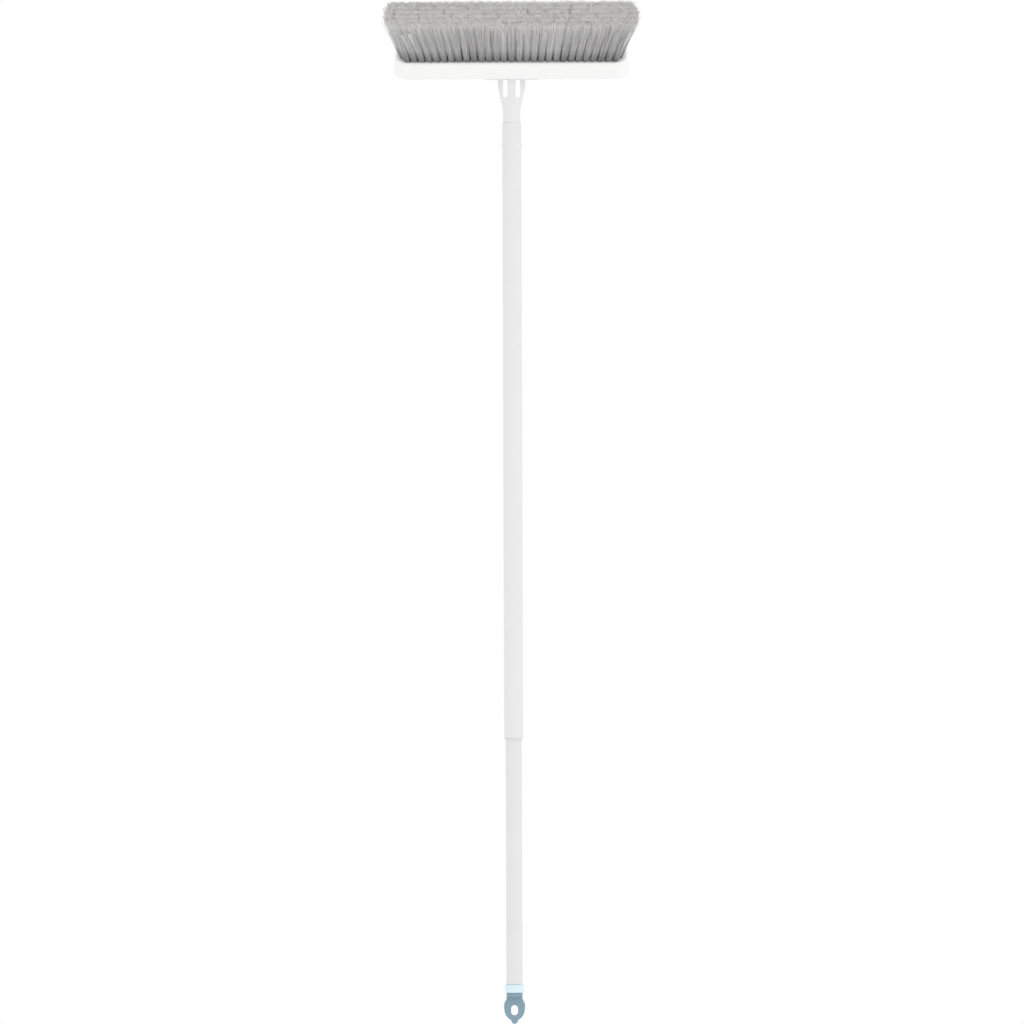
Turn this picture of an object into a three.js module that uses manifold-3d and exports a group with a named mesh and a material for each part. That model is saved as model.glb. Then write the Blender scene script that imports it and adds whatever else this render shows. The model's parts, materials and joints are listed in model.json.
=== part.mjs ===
// A pool brush on a two-section telescopic pole: a wide tilted brush head, a handle bracket that
// clips into the pole, a twist lock between the two tubes, and an end cap with a turning hang loop.
// Millimetres, +Z up along the pole. The origin is on the pole's axis at the outer tube's lower mouth.
// The head is X wide, and the bristles point up and towards -Y.
import * as THREE from "three";
import { mergeVertices } from "three/addons/utils/BufferGeometryUtils.js";
import Module from "manifold-3d";

const wasm = await Module();
wasm.setup();

// Fits
const FIT_GAP = 0.3; // space left between two pieces that seat in or on each other
const ROUND_SIDES = 36; // facets of a large round piece
const SMALL_SIDES = 16; // facets of a pin, screw or button
const CUT_PAST = 2; // how far a cutter runs past the face that it cuts

// Pole tubes
const OUTER_TUBE_DIAMETER = 31.75;
const OUTER_TUBE_WALL = 1.2;
const OUTER_TUBE_LENGTH = 1015;
const TUBE_GAP = 1.175; // radial space between the two tubes
const INNER_TUBE_WALL = 1.2;
const INNER_TUBE_LENGTH = 900;
const INNER_TUBE_SHOWN = 406; // length that stands out of the outer tube at rest
const BUSH_LENGTH = 30; // guide sleeve inside the outer tube's mouth
const BUSH_LIP = 2; // its lip under the mouth

// Twist lock
const LOCK_SPIGOT_LENGTH = 30; // part of the plug inside the inner tube
const LOCK_SHOULDER = 5; // part of the plug on top of the inner tube
const JOURNAL_DIAMETER = 16;
const CAM_OFFSET = 1; // the journal's axis from the pole's axis
const LOCK_TURN = 60; // degrees from locked to released
const LOCK_RING_HEIGHT = 18;
const LOCK_RING_GAP = 0.4; // radial space from the ring to the outer tube
const LOCK_RING_SLIT = 2;
const LOCK_WASHER_DIAMETER = 22;
const WASHER_THICKNESS = 1.5;
const LOCK_SCREW_DIAMETER = 4;
const LOCK_SCREW_DEPTH = 14;
const PIN_DIAMETER = 3; // cross pins of the lock plug and the end cap
const PIN_INSET = 0.4; // the pins' ends lie this far under the tube's surface
const LOCK_PIN_DEPTH = 15; // the lock pin's axis under the inner tube's top
const CAP_PIN_RISE = 17; // the cap pin's axis over the inner tube's bottom

// End cap and hang loop
const COLLAR_DIAMETER = 31;
const COLLAR_HEIGHT = 14;
const COLLAR_ROUND = 3; // rounding of the collar's lower edge
const CAP_PLUG_LENGTH = 26;
const CAP_HOLLOW_DIAMETER = 15;
const CAP_FLOOR = 6;
const STEM_DIAMETER = 8; // the loop's stem, which turns in the cap's floor
const LOOP_WASHER_DIAMETER = 13;
const LOOP_SCREW_DIAMETER = 3.2;
const LOOP_SCREW_DEPTH = 10;
const LOOP_SHOULDER_DIAMETER = 27;
const LOOP_SHOULDER_HEIGHT = 11;
const LOOP_THICKNESS = 8;
const LOOP_EDGE = 1.2; // edge rounding of the flat loop
const LOOP_WIDTH = 35;
const LOOP_LENGTH = 51; // from the shoulder's top to the tail's tip
const LOOP_TAIL_WIDTH = 11;
const LOOP_RIM = 6; // plastic under the eye
const EYE_WIDTH = 11.5;
const EYE_LENGTH = 17;
const EYE_DEPTH = 28.5; // from the shoulder's top to the eye's middle

// Handle bracket
const SHANK_INSERT = 75; // length inside the outer tube
const SHANK_WALL = 2.6;
const NECK_SHOWN = 18; // plain shank that shows over the tube's rim
const SHOULDER_HEIGHT = 44; // cone from the shank up to the boss
const BOSS_DIAMETER = 46;
const BOSS_HEIGHT = 29; // along the axis, from the cone to the block's back
const SLOT_WIDTH = 7.5; // openings right through the boss, which leave three ribs
const SLOT_SPREAD = 10.3; // the slots' middles to each side of the axis
const SLOT_FLOOR = 5.4; // plastic between the shank's bore and the slots
const FOOT_LENGTH = 102;
const FOOT_DEPTH = 58;
const FOOT_THICKNESS = 6;
const FOOT_CORNER = 12;
const FOOT_EDGE = 1.5;
const SCREW_SPREAD_X = 78; // between the bracket screws, along the head
const SCREW_SPREAD_DEPTH = 38; // and across it
const SCREW_DIAMETER = 4.2;
const SCREW_HEAD_DIAMETER = 9;
const SCREW_HEAD_HEIGHT = 3.2;
const SCREW_BITE = 13; // length of the screw inside the block

// Spring clip, whose buttons hold the shank in the outer tube
const BUTTON_DEPTH = 38; // the buttons' axis under the outer tube's rim
const BUTTON_DIAMETER = 7.6;
const BUTTON_PLAY = 0.9; // radial space round the button in its holes
const BUTTON_PROUD = 1.2; // how far the button stands out of the outer tube
const BUTTON_RIVET_DIAMETER = 3.6;
const CLIP_ARM = 68; // from the bend to the button's axis
const CLIP_TAIL = 14; // arm past the button
const CLIP_WIDTH = 12;
const CLIP_THICKNESS = 1.6;
const CLIP_BEND_RADIUS = 4.5;

// Brush block
const HEAD_TILT = 35; // degrees between the bristles and the pole
const BLOCK_LENGTH = 388;
const BLOCK_DEPTH = 76;
const BLOCK_THICKNESS = 30;
const BLOCK_CORNER = 22;
const BLOCK_EDGE = 4; // edge rounding
const BLOCK_DRAFT = 3; // the bristle face is smaller by this on each side
const POCKETS_PER_SIDE = 4; // hollows in the back, beside the foot
const POCKET_DEPTH = 14;
const POCKET_RIB = 6;
const POCKET_MARGIN = 14; // from the hollows to the block's edges
const POCKET_CORNER = 5;

// Bristle rows
const ROW_COUNT = 6;
const ROW_PITCH = 10.4; // between rows at the block
const ROW_TIP_PITCH = 13.1; // between rows at the tips
const ROW_TIP_GAP = 0.6; // left open between two rows at the tips
const ROW_LENGTH = 363; // along the block's face
const OUTER_ROW_CUT = 7; // the two outer rows are shorter by this at each end
const ROOT_THICKNESS = 6;
const ROOT_DEPTH = 12; // inside the block
const BRISTLE_LENGTH = 75;
const END_FLARE = 28.5; // how far each end of a row leans out at the tips

// Radii and places that follow from the sizes
const OUTER_RADIUS = OUTER_TUBE_DIAMETER / 2;
const OUTER_BORE = OUTER_RADIUS - OUTER_TUBE_WALL;
const INNER_RADIUS = OUTER_BORE - TUBE_GAP;
const INNER_BORE = INNER_RADIUS - INNER_TUBE_WALL;
const INNER_TOP = INNER_TUBE_LENGTH - INNER_TUBE_SHOWN;
const INNER_BOTTOM = -INNER_TUBE_SHOWN;
const RIM = OUTER_TUBE_LENGTH;
const SHANK_RADIUS = OUTER_BORE - FIT_GAP;
const SHANK_BORE = SHANK_RADIUS - SHANK_WALL;
const BLOCK_BACK = RIM + NECK_SHOWN + SHOULDER_HEIGHT + BOSS_HEIGHT;
const BUTTON_Z = RIM - BUTTON_DEPTH;
const CLIP_BEND_Z = BUTTON_Z + CLIP_ARM;
const FOOT_BACK = -FIT_GAP - FOOT_THICKNESS; // the foot's outer face, along the bristles

// Finishes
const PLASTIC = { metalness: 0, roughness: 0.4 };
const whitePlastic = new THREE.MeshStandardMaterial({ color: 0xeeeeec, ...PLASTIC });
const whitePaint = new THREE.MeshStandardMaterial({ color: 0xebebea, metalness: 0.1, roughness: 0.35 });
const greyBristle = new THREE.MeshStandardMaterial({ color: 0xb4b3b2, metalness: 0, roughness: 0.8 });
const paleBlue = new THREE.MeshStandardMaterial({ color: 0xd3ebf4, ...PLASTIC });
const slateBlue = new THREE.MeshStandardMaterial({ color: 0x7fa9bb, ...PLASTIC });
const blackPlastic = new THREE.MeshStandardMaterial({ color: 0x3a3c3e, ...PLASTIC });
const steel = new THREE.MeshStandardMaterial({ color: 0xbfc2c4, metalness: 0.9, roughness: 0.35 });

// Solids from geometries, and geometries from solids
function solid(geometry) {
  const bare = geometry.index ? geometry.toNonIndexed() : geometry.clone();
  bare.deleteAttribute("normal");
  bare.deleteAttribute("uv");
  const merged = mergeVertices(bare, 1e-4);
  const vertProperties = merged.attributes.position.array;
  const triVerts = new Uint32Array(merged.index.array);
  return new wasm.Manifold(new wasm.Mesh({ numProp: 3, vertProperties, triVerts }));
}

function geometryOf(body) {
  const mesh = body.getMesh();
  const position = new THREE.BufferAttribute(new Float32Array(mesh.vertProperties), mesh.numProp);
  const geometry = new THREE.BufferGeometry().setAttribute("position", position);
  return geometry.setIndex(new THREE.BufferAttribute(mesh.triVerts, 1));
}

// A piece turned about Z, from a closed profile of [radius, height] points
function turned(profile, sides = ROUND_SIDES) {
  const points = [...profile, profile[0]].map(([radius, height]) => new THREE.Vector2(radius, height));
  return new THREE.LatheGeometry(points, sides).rotateX(Math.PI / 2);
}

function tube(innerRadius, outerRadius, low, high, sides = ROUND_SIDES) {
  const profile = [
    [innerRadius, low],
    [outerRadius, low],
    [outerRadius, high],
    [innerRadius, high],
  ];
  return turned(profile, sides);
}

// A round bar along Z between two heights
function bar(radius, low, high, sides = SMALL_SIDES) {
  const geometry = new THREE.CylinderGeometry(radius, radius, high - low, sides);
  return geometry.rotateX(Math.PI / 2).translate(0, 0, (low + high) / 2);
}

function barAlongX(radius, low, high, z) {
  return bar(radius, low, high).rotateY(Math.PI / 2).translate(0, 0, z);
}

function roundedRectangle(length, depth, corner) {
  const x = length / 2 - corner;
  const y = depth / 2 - corner;
  return new THREE.Shape()
    .absarc(x, y, corner, 0, Math.PI / 2)
    .absarc(-x, y, corner, Math.PI / 2, Math.PI)
    .absarc(-x, -y, corner, Math.PI, Math.PI * 1.5)
    .absarc(x, -y, corner, Math.PI * 1.5, Math.PI * 2);
}

// A slab of an outline between z = low and high, with its edges rounded inside that height
function slab(outline, low, high, edge, curveSegments = 4) {
  const geometry = new THREE.ExtrudeGeometry(outline, {
    depth: high - low - 2 * edge,
    bevelEnabled: edge > 0,
    bevelThickness: edge,
    bevelSize: edge,
    bevelOffset: -edge,
    bevelSegments: 2,
    curveSegments,
  });
  return geometry.translate(0, 0, low + edge);
}

// The head's own frame: X along the head, Y across the rows, Z along the bristles, 0 at the block's back
const headFrame = new THREE.Matrix4()
  .makeRotationX(THREE.MathUtils.degToRad(HEAD_TILT))
  .setPosition(0, 0, BLOCK_BACK);

const screwPlaces = [-1, 1].flatMap((side) =>
  [-1, 1].map((end) => [(end * SCREW_SPREAD_X) / 2, (side * SCREW_SPREAD_DEPTH) / 2]),
);

// Bristle rows
function rowPlace(index) {
  return index - (ROW_COUNT - 1) / 2;
}

function rowHalfLength(index) {
  const isOuter = index === 0 || index === ROW_COUNT - 1;
  return ROW_LENGTH / 2 - (isOuter ? OUTER_ROW_CUT : 0);
}

// One row of tufts as one solid: a straight root in the block, then a part that flares to the tips
function bristleRow(index) {
  const half = rowHalfLength(index);
  const rootMiddle = rowPlace(index) * ROW_PITCH;
  const root = { z: BLOCK_THICKNESS - ROOT_DEPTH, half, middle: rootMiddle, thick: ROOT_THICKNESS };
  const tips = {
    z: BLOCK_THICKNESS + BRISTLE_LENGTH,
    half: half + END_FLARE,
    middle: rowPlace(index) * ROW_TIP_PITCH,
    thick: ROW_TIP_PITCH - ROW_TIP_GAP,
  };
  const stations = [root, { ...root, z: BLOCK_THICKNESS }, tips];
  const geometry = new THREE.BoxGeometry(2, 1, 2, 1, 1, stations.length - 1);
  const position = geometry.getAttribute("position");
  for (let i = 0; i < position.count; i++) {
    const station = stations[Math.round(position.getZ(i)) + 1];
    const x = position.getX(i) * station.half;
    const y = station.middle + position.getY(i) * station.thick;
    position.setXYZ(i, x, y, station.z);
  }
  return geometry;
}

// The slot in the block that a row's root sits in
function rowSlot(index) {
  const length = 2 * (rowHalfLength(index) + FIT_GAP);
  const depth = ROOT_THICKNESS + 2 * FIT_GAP;
  const height = ROOT_DEPTH + FIT_GAP + CUT_PAST;
  const geometry = new THREE.BoxGeometry(length, depth, height);
  const z = BLOCK_THICKNESS + CUT_PAST - height / 2;
  return geometry.translate(0, rowPlace(index) * ROW_PITCH, z);
}

// Brush block: a drafted slab with a slot for each row, pilot holes and hollows in its back
function brushBlock() {
  const outline = roundedRectangle(BLOCK_LENGTH, BLOCK_DEPTH, BLOCK_CORNER);
  const geometry = slab(outline, 0, BLOCK_THICKNESS, BLOCK_EDGE);
  const position = geometry.getAttribute("position");
  for (let i = 0; i < position.count; i++) {
    const inset = (2 * BLOCK_DRAFT * position.getZ(i)) / BLOCK_THICKNESS;
    position.setX(i, position.getX(i) * (1 - inset / BLOCK_LENGTH));
    position.setY(i, position.getY(i) * (1 - inset / BLOCK_DEPTH));
  }
  let block = solid(geometry);
  for (let row = 0; row < ROW_COUNT; row++) {
    block = block.subtract(solid(rowSlot(row)));
  }
  for (const [x, y] of screwPlaces) {
    const pilot = bar(SCREW_DIAMETER / 2 + FIT_GAP, -CUT_PAST, SCREW_BITE + FIT_GAP).translate(x, y, 0);
    block = block.subtract(solid(pilot));
  }
  const first = FOOT_LENGTH / 2 + POCKET_RIB;
  const pitch = (BLOCK_LENGTH / 2 - POCKET_MARGIN - first + POCKET_RIB) / POCKETS_PER_SIDE;
  const pocket = roundedRectangle(pitch - POCKET_RIB, BLOCK_DEPTH - 2 * POCKET_MARGIN, POCKET_CORNER);
  for (let i = 0; i < POCKETS_PER_SIDE; i++) {
    for (const side of [-1, 1]) {
      const x = side * (first + i * pitch + (pitch - POCKET_RIB) / 2);
      const hollow = slab(pocket, -CUT_PAST, POCKET_DEPTH, 0, 2).translate(x, 0, 0);
      block = block.subtract(solid(hollow));
    }
  }
  return geometryOf(block);
}

// Handle bracket: hollow shank, cone, slotted boss and screwed foot in one moulding
function handleBracket() {
  const boreTop = CLIP_BEND_Z + CLIP_BEND_RADIUS + CLIP_THICKNESS / 2 + FIT_GAP;
  const bossTop = BLOCK_BACK + BOSS_DIAMETER;
  const profile = [
    [0, boreTop],
    [SHANK_BORE, boreTop],
    [SHANK_BORE, RIM - SHANK_INSERT],
    [SHANK_RADIUS, RIM - SHANK_INSERT],
    [SHANK_RADIUS, RIM + NECK_SHOWN],
    [BOSS_DIAMETER / 2, RIM + NECK_SHOWN + SHOULDER_HEIGHT],
    [BOSS_DIAMETER / 2, bossTop],
    [0, bossTop],
  ];
  let bracket = solid(turned(profile));

  const aboveFoot = new THREE.BoxGeometry(4 * BOSS_DIAMETER, 4 * BOSS_DIAMETER, 4 * BOSS_DIAMETER)
    .translate(0, 0, 2 * BOSS_DIAMETER - FIT_GAP - FOOT_THICKNESS / 2)
    .applyMatrix4(headFrame);
  bracket = bracket.subtract(solid(aboveFoot));

  const slotRound = SLOT_WIDTH / 2;
  const slotOutline = new THREE.Shape()
    .moveTo(slotRound, bossTop)
    .lineTo(-slotRound, bossTop)
    .absarc(0, boreTop + SLOT_FLOOR + slotRound, slotRound, -Math.PI, 0);
  const slotReach = BOSS_DIAMETER / 2 + CUT_PAST;
  for (const x of [-SLOT_SPREAD, SLOT_SPREAD]) {
    const slot = slab(slotOutline, -slotReach, slotReach, 0, 6).rotateX(Math.PI / 2).translate(x, 0, 0);
    bracket = bracket.subtract(solid(slot));
  }

  const footOutline = roundedRectangle(FOOT_LENGTH, FOOT_DEPTH, FOOT_CORNER);
  const foot = slab(footOutline, FOOT_BACK, -FIT_GAP, FOOT_EDGE, 3).applyMatrix4(headFrame);
  bracket = bracket.add(solid(foot));
  for (const [x, y] of screwPlaces) {
    const hole = bar(SCREW_DIAMETER / 2 + FIT_GAP, FOOT_BACK - CUT_PAST, CUT_PAST).translate(x, y, 0);
    bracket = bracket.subtract(solid(hole.applyMatrix4(headFrame)));
  }
  return geometryOf(bracket.subtract(buttonHoles()));
}

// The round holes for the buttons, straight through the shank and the outer tube
function buttonHoles() {
  const reach = OUTER_RADIUS + CUT_PAST;
  return solid(barAlongX(BUTTON_DIAMETER / 2 + BUTTON_PLAY, -reach, reach, BUTTON_Z));
}

// Bracket screw: a domed head on the foot and a plain shank in the block
function bracketScrew() {
  const seat = FOOT_BACK - FIT_GAP;
  const headRadius = SCREW_HEAD_DIAMETER / 2;
  const shankRadius = SCREW_DIAMETER / 2;
  const profile = [
    [0, seat - SCREW_HEAD_HEIGHT],
    [headRadius * 0.6, seat - SCREW_HEAD_HEIGHT],
    [headRadius, seat - SCREW_HEAD_HEIGHT / 2],
    [headRadius, seat],
    [shankRadius, seat],
    [shankRadius, SCREW_BITE - shankRadius],
    [0, SCREW_BITE],
  ];
  return turned(profile, SMALL_SIDES);
}

// Spring clip: a bend and two leaning arms, each with a riveted button
const armTailX =
  Math.sqrt((SHANK_BORE - FIT_GAP) ** 2 - (CLIP_WIDTH / 2) ** 2) - CLIP_THICKNESS / 2;
const armLength = CLIP_ARM + CLIP_TAIL;
const armLean = Math.asin((armTailX - CLIP_BEND_RADIUS) / armLength);

function clipBend() {
  const outer = CLIP_BEND_RADIUS + CLIP_THICKNESS / 2;
  const inner = CLIP_BEND_RADIUS - CLIP_THICKNESS / 2;
  const outline = new THREE.Shape()
    .absarc(0, 0, outer, 0, Math.PI)
    .absarc(0, 0, inner, Math.PI, 0, true);
  const geometry = new THREE.ExtrudeGeometry(outline, {
    depth: CLIP_WIDTH,
    bevelEnabled: false,
    curveSegments: 6,
  });
  return geometry.rotateX(Math.PI / 2).translate(0, CLIP_WIDTH / 2, CLIP_BEND_Z);
}

// The arm on the +X side; the other is its mirror image
function armMiddleX(z) {
  return CLIP_BEND_RADIUS + (CLIP_BEND_Z - z) * Math.tan(armLean);
}

function clipArm() {
  const arm = new THREE.BoxGeometry(CLIP_THICKNESS, CLIP_WIDTH, armLength - FIT_GAP)
    .translate(0, 0, -(armLength + FIT_GAP) / 2)
    .rotateY(-armLean)
    .translate(CLIP_BEND_RADIUS, 0, CLIP_BEND_Z);
  const hole = barAlongX(BUTTON_RIVET_DIAMETER / 2 + FIT_GAP, 0, OUTER_RADIUS, BUTTON_Z);
  return geometryOf(solid(arm).subtract(solid(hole)));
}

function clipButton() {
  const radius = BUTTON_DIAMETER / 2;
  const slope = radius * Math.tan(armLean);
  const base = armMiddleX(BUTTON_Z) + CLIP_THICKNESS / 2 + slope + FIT_GAP;
  const tip = OUTER_RADIUS + BUTTON_PROUD;
  const rivetEnd = armMiddleX(BUTTON_Z) - CLIP_THICKNESS / 2;
  const rivetRadius = BUTTON_RIVET_DIAMETER / 2;
  const profile = [
    [0, rivetEnd],
    [rivetRadius, rivetEnd],
    [rivetRadius, base],
    [radius, base],
    [radius, tip - BUTTON_PROUD / 2],
    [radius * 0.75, tip],
    [0, tip],
  ];
  return turned(profile, SMALL_SIDES).rotateY(Math.PI / 2).translate(0, 0, BUTTON_Z);
}

function mirroredX(geometry) {
  return geometryOf(solid(geometry).mirror([1, 0, 0]));
}

// Pole tubes and the guide bush in the outer tube's mouth
function outerTube() {
  return geometryOf(solid(tube(OUTER_BORE, OUTER_RADIUS, 0, RIM)).subtract(buttonHoles()));
}

function pinHole(z) {
  const reach = INNER_RADIUS + CUT_PAST;
  return solid(barAlongX(PIN_DIAMETER / 2 + FIT_GAP, -reach, reach, z));
}

const lockPinZ = INNER_TOP - LOCK_PIN_DEPTH;
const capPinZ = INNER_BOTTOM + CAP_PIN_RISE;

function innerTube() {
  const body = solid(tube(INNER_BORE, INNER_RADIUS, INNER_BOTTOM, INNER_TOP));
  return geometryOf(body.subtract(pinHole(lockPinZ)).subtract(pinHole(capPinZ)));
}

function crossPin(z) {
  const reach = INNER_RADIUS - PIN_INSET;
  return barAlongX(PIN_DIAMETER / 2, -reach, reach, z);
}

function mouthBush() {
  const bore = INNER_RADIUS + FIT_GAP;
  const profile = [
    [bore, -FIT_GAP - BUSH_LIP],
    [OUTER_RADIUS, -FIT_GAP - BUSH_LIP],
    [OUTER_RADIUS, -FIT_GAP],
    [OUTER_BORE - FIT_GAP, -FIT_GAP],
    [OUTER_BORE - FIT_GAP, BUSH_LENGTH],
    [bore, BUSH_LENGTH],
  ];
  return turned(profile);
}

// Twist lock: a plug pinned in the inner tube, with an off-centre journal that carries a split ring
const journalLow = INNER_TOP + FIT_GAP + LOCK_SHOULDER;
const journalHigh = journalLow + LOCK_RING_HEIGHT + 2 * FIT_GAP;

function lockPlug() {
  const spigot = INNER_BORE - FIT_GAP;
  const profile = [
    [0, INNER_TOP - LOCK_SPIGOT_LENGTH],
    [spigot, INNER_TOP - LOCK_SPIGOT_LENGTH],
    [spigot, INNER_TOP + FIT_GAP],
    [INNER_RADIUS, INNER_TOP + FIT_GAP],
    [INNER_RADIUS, journalLow],
    [0, journalLow],
  ];
  const journal = bar(JOURNAL_DIAMETER / 2, journalLow - LOCK_SHOULDER / 2, journalHigh, ROUND_SIDES);
  const screwHole = bar(
    LOCK_SCREW_DIAMETER / 2 + FIT_GAP,
    journalHigh - LOCK_SCREW_DEPTH - FIT_GAP,
    journalHigh + CUT_PAST,
  );
  const body = solid(turned(profile))
    .add(solid(journal.translate(CAM_OFFSET, 0, 0)))
    .subtract(solid(screwHole.translate(CAM_OFFSET, 0, 0)));
  return geometryOf(body.subtract(pinHole(lockPinZ)));
}

// The ring stays still while the plug turns, so its bore clears the journal's whole path
function lockRing() {
  const halfTurn = THREE.MathUtils.degToRad(LOCK_TURN / 2);
  const sweep = 2 * CAM_OFFSET * Math.sin(halfTurn / 2);
  const bore = JOURNAL_DIAMETER / 2 + sweep + FIT_GAP;
  const low = journalLow + FIT_GAP;
  const high = low + LOCK_RING_HEIGHT;
  const boreX = CAM_OFFSET * Math.cos(halfTurn);
  const boreY = CAM_OFFSET * Math.sin(halfTurn);
  const radius = OUTER_BORE - LOCK_RING_GAP;
  const hole = bar(bore, low - CUT_PAST, high + CUT_PAST, ROUND_SIDES).translate(boreX, boreY, 0);
  const slit = new THREE.BoxGeometry(radius, LOCK_RING_SLIT, LOCK_RING_HEIGHT + 2 * CUT_PAST)
    .translate(radius / 2 + bore / 2, 0, (low + high) / 2)
    .rotateZ(halfTurn);
  const ring = solid(bar(radius, low, high, ROUND_SIDES));
  return geometryOf(ring.subtract(solid(hole)).subtract(solid(slit)));
}

function washer(holeDiameter, diameter, low) {
  return tube(holeDiameter / 2 + FIT_GAP, diameter / 2, low, low + WASHER_THICKNESS, 24);
}

// A pan-head screw whose head sits over a washer and whose shank goes down
function panScrew(diameter, seat, depth) {
  const profile = [
    [0, seat - depth],
    [diameter / 2, seat - depth],
    [diameter / 2, seat],
    [diameter, seat],
    [diameter, seat + diameter * 0.4],
    [diameter * 0.6, seat + diameter * 0.65],
    [0, seat + diameter * 0.65],
  ];
  return turned(profile, SMALL_SIDES);
}

const lockWasherLow = journalHigh + FIT_GAP;
const lockScrewSeat = lockWasherLow + WASHER_THICKNESS + FIT_GAP;
const lockScrewLength = lockScrewSeat - journalHigh + LOCK_SCREW_DEPTH;

// End cap: a hollow plug in the inner tube over a round collar
const collarTop = INNER_BOTTOM - FIT_GAP;
const collarBottom = collarTop - COLLAR_HEIGHT;
const capFloorTop = collarBottom + CAP_FLOOR;

function endCap() {
  const plug = INNER_BORE - FIT_GAP;
  const collar = COLLAR_DIAMETER / 2;
  const stemHole = STEM_DIAMETER / 2 + FIT_GAP;
  const roundSteps = 3;
  const lowerEdge = Array.from({ length: roundSteps + 1 }, (_, i) => {
    const angle = (Math.PI / 2) * (i / roundSteps);
    return [
      collar - COLLAR_ROUND * (1 - Math.sin(angle)),
      collarBottom + COLLAR_ROUND * (1 - Math.cos(angle)),
    ];
  });
  const profile = [
    [stemHole, collarBottom],
    ...lowerEdge,
    [collar, collarTop],
    [plug, collarTop],
    [plug, INNER_BOTTOM + CAP_PLUG_LENGTH],
    [CAP_HOLLOW_DIAMETER / 2, INNER_BOTTOM + CAP_PLUG_LENGTH],
    [CAP_HOLLOW_DIAMETER / 2, capFloorTop],
    [stemHole, capFloorTop],
  ];
  return geometryOf(solid(turned(profile)).subtract(pinHole(capPinZ)));
}

// Hang loop: a round stem and shoulder over a flat drop-shaped eye that narrows to a tail
const loopTop = collarBottom - FIT_GAP;
const stemTop = capFloorTop + FIT_GAP;
const loopWasherLow = stemTop + FIT_GAP;
const loopScrewSeat = loopWasherLow + WASHER_THICKNESS + FIT_GAP;

function loopOutline() {
  // The flat part starts where its corners meet the round shoulder
  const shoulder = Math.sqrt((LOOP_SHOULDER_DIAMETER / 2) ** 2 - (LOOP_THICKNESS / 2) ** 2);
  const side = LOOP_WIDTH / 2;
  const tail = LOOP_TAIL_WIDTH / 2;
  const shoulderZ = -LOOP_SHOULDER_HEIGHT / 2;
  const sideZ = -EYE_DEPTH + EYE_LENGTH * 0.4;
  const middleZ = (shoulderZ + sideZ) / 2;
  const rimZ = -EYE_DEPTH - EYE_LENGTH / 2 - LOOP_RIM;
  const tailZ = -LOOP_LENGTH + tail;
  const outline = new THREE.Shape()
    .moveTo(shoulder, shoulderZ)
    .bezierCurveTo(shoulder, middleZ, side, middleZ, side, sideZ)
    .bezierCurveTo(side, rimZ, tail, rimZ, tail, tailZ)
    .absarc(0, tailZ, tail, 0, -Math.PI, true)
    .bezierCurveTo(-tail, rimZ, -side, rimZ, -side, sideZ)
    .bezierCurveTo(-side, middleZ, -shoulder, middleZ, -shoulder, shoulderZ);
  const eye = EYE_WIDTH / 2;
  const straight = EYE_LENGTH / 2 - eye;
  const hole = new THREE.Path()
    .absarc(0, -EYE_DEPTH + straight, eye, 0, Math.PI)
    .absarc(0, -EYE_DEPTH - straight, eye, Math.PI, Math.PI * 2);
  outline.holes.push(hole);
  return outline;
}

function hangLoop() {
  const flat = slab(loopOutline(), -LOOP_THICKNESS / 2, LOOP_THICKNESS / 2, LOOP_EDGE, 6);
  flat.rotateX(Math.PI / 2).translate(0, 0, loopTop);
  const shoulder = LOOP_SHOULDER_DIAMETER / 2;
  const low = loopTop - LOOP_SHOULDER_HEIGHT;
  const profile = [
    [0, low],
    [LOOP_THICKNESS / 2, low],
    [shoulder, low + LOOP_SHOULDER_HEIGHT / 2],
    [shoulder, loopTop],
    [STEM_DIAMETER / 2, loopTop],
    [STEM_DIAMETER / 2, stemTop],
    [0, stemTop],
  ];
  const screwHole = bar(
    LOOP_SCREW_DIAMETER / 2 + FIT_GAP,
    stemTop - LOOP_SCREW_DEPTH - FIT_GAP,
    stemTop + CUT_PAST,
  );
  return geometryOf(solid(flat).add(solid(turned(profile))).subtract(solid(screwHole)));
}

// Assembly
const poolBrush = new THREE.Group();
const head = new THREE.Group();
head.applyMatrix4(headFrame);
poolBrush.add(head);

function place(parent, name, geometry, material) {
  const mesh = new THREE.Mesh(geometry, material);
  mesh.name = name;
  parent.add(mesh);
  return mesh;
}

place(head, "brush_block", brushBlock(), whitePlastic);
for (let row = 0; row < ROW_COUNT; row++) {
  place(head, `bristle_row_${row + 1}`, bristleRow(row), greyBristle);
}
screwPlaces.forEach(([x, y], index) => {
  place(head, `bracket_screw_${index + 1}`, bracketScrew(), steel).position.set(x, y, 0);
});
place(poolBrush, "handle_bracket", handleBracket(), whitePlastic);

place(poolBrush, "clip_bend", clipBend(), steel);
place(poolBrush, "right_clip_arm", clipArm(), steel);
place(poolBrush, "left_clip_arm", mirroredX(clipArm()), steel);
place(poolBrush, "right_clip_button", clipButton(), whitePlastic);
place(poolBrush, "left_clip_button", mirroredX(clipButton()), whitePlastic);

place(poolBrush, "outer_tube", outerTube(), whitePaint);
place(poolBrush, "mouth_bush", mouthBush(), whitePlastic);
place(poolBrush, "inner_tube", innerTube(), whitePaint);

place(poolBrush, "lock_plug", lockPlug(), blackPlastic);
place(poolBrush, "lock_ring", lockRing(), whitePlastic);
const lockWasher = washer(LOCK_SCREW_DIAMETER, LOCK_WASHER_DIAMETER, lockWasherLow);
place(poolBrush, "lock_washer", lockWasher, steel).position.x = CAM_OFFSET;
const lockScrew = panScrew(LOCK_SCREW_DIAMETER, lockScrewSeat, lockScrewLength);
place(poolBrush, "lock_screw", lockScrew, steel).position.x = CAM_OFFSET;
place(poolBrush, "lock_pin", crossPin(lockPinZ), steel);

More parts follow.
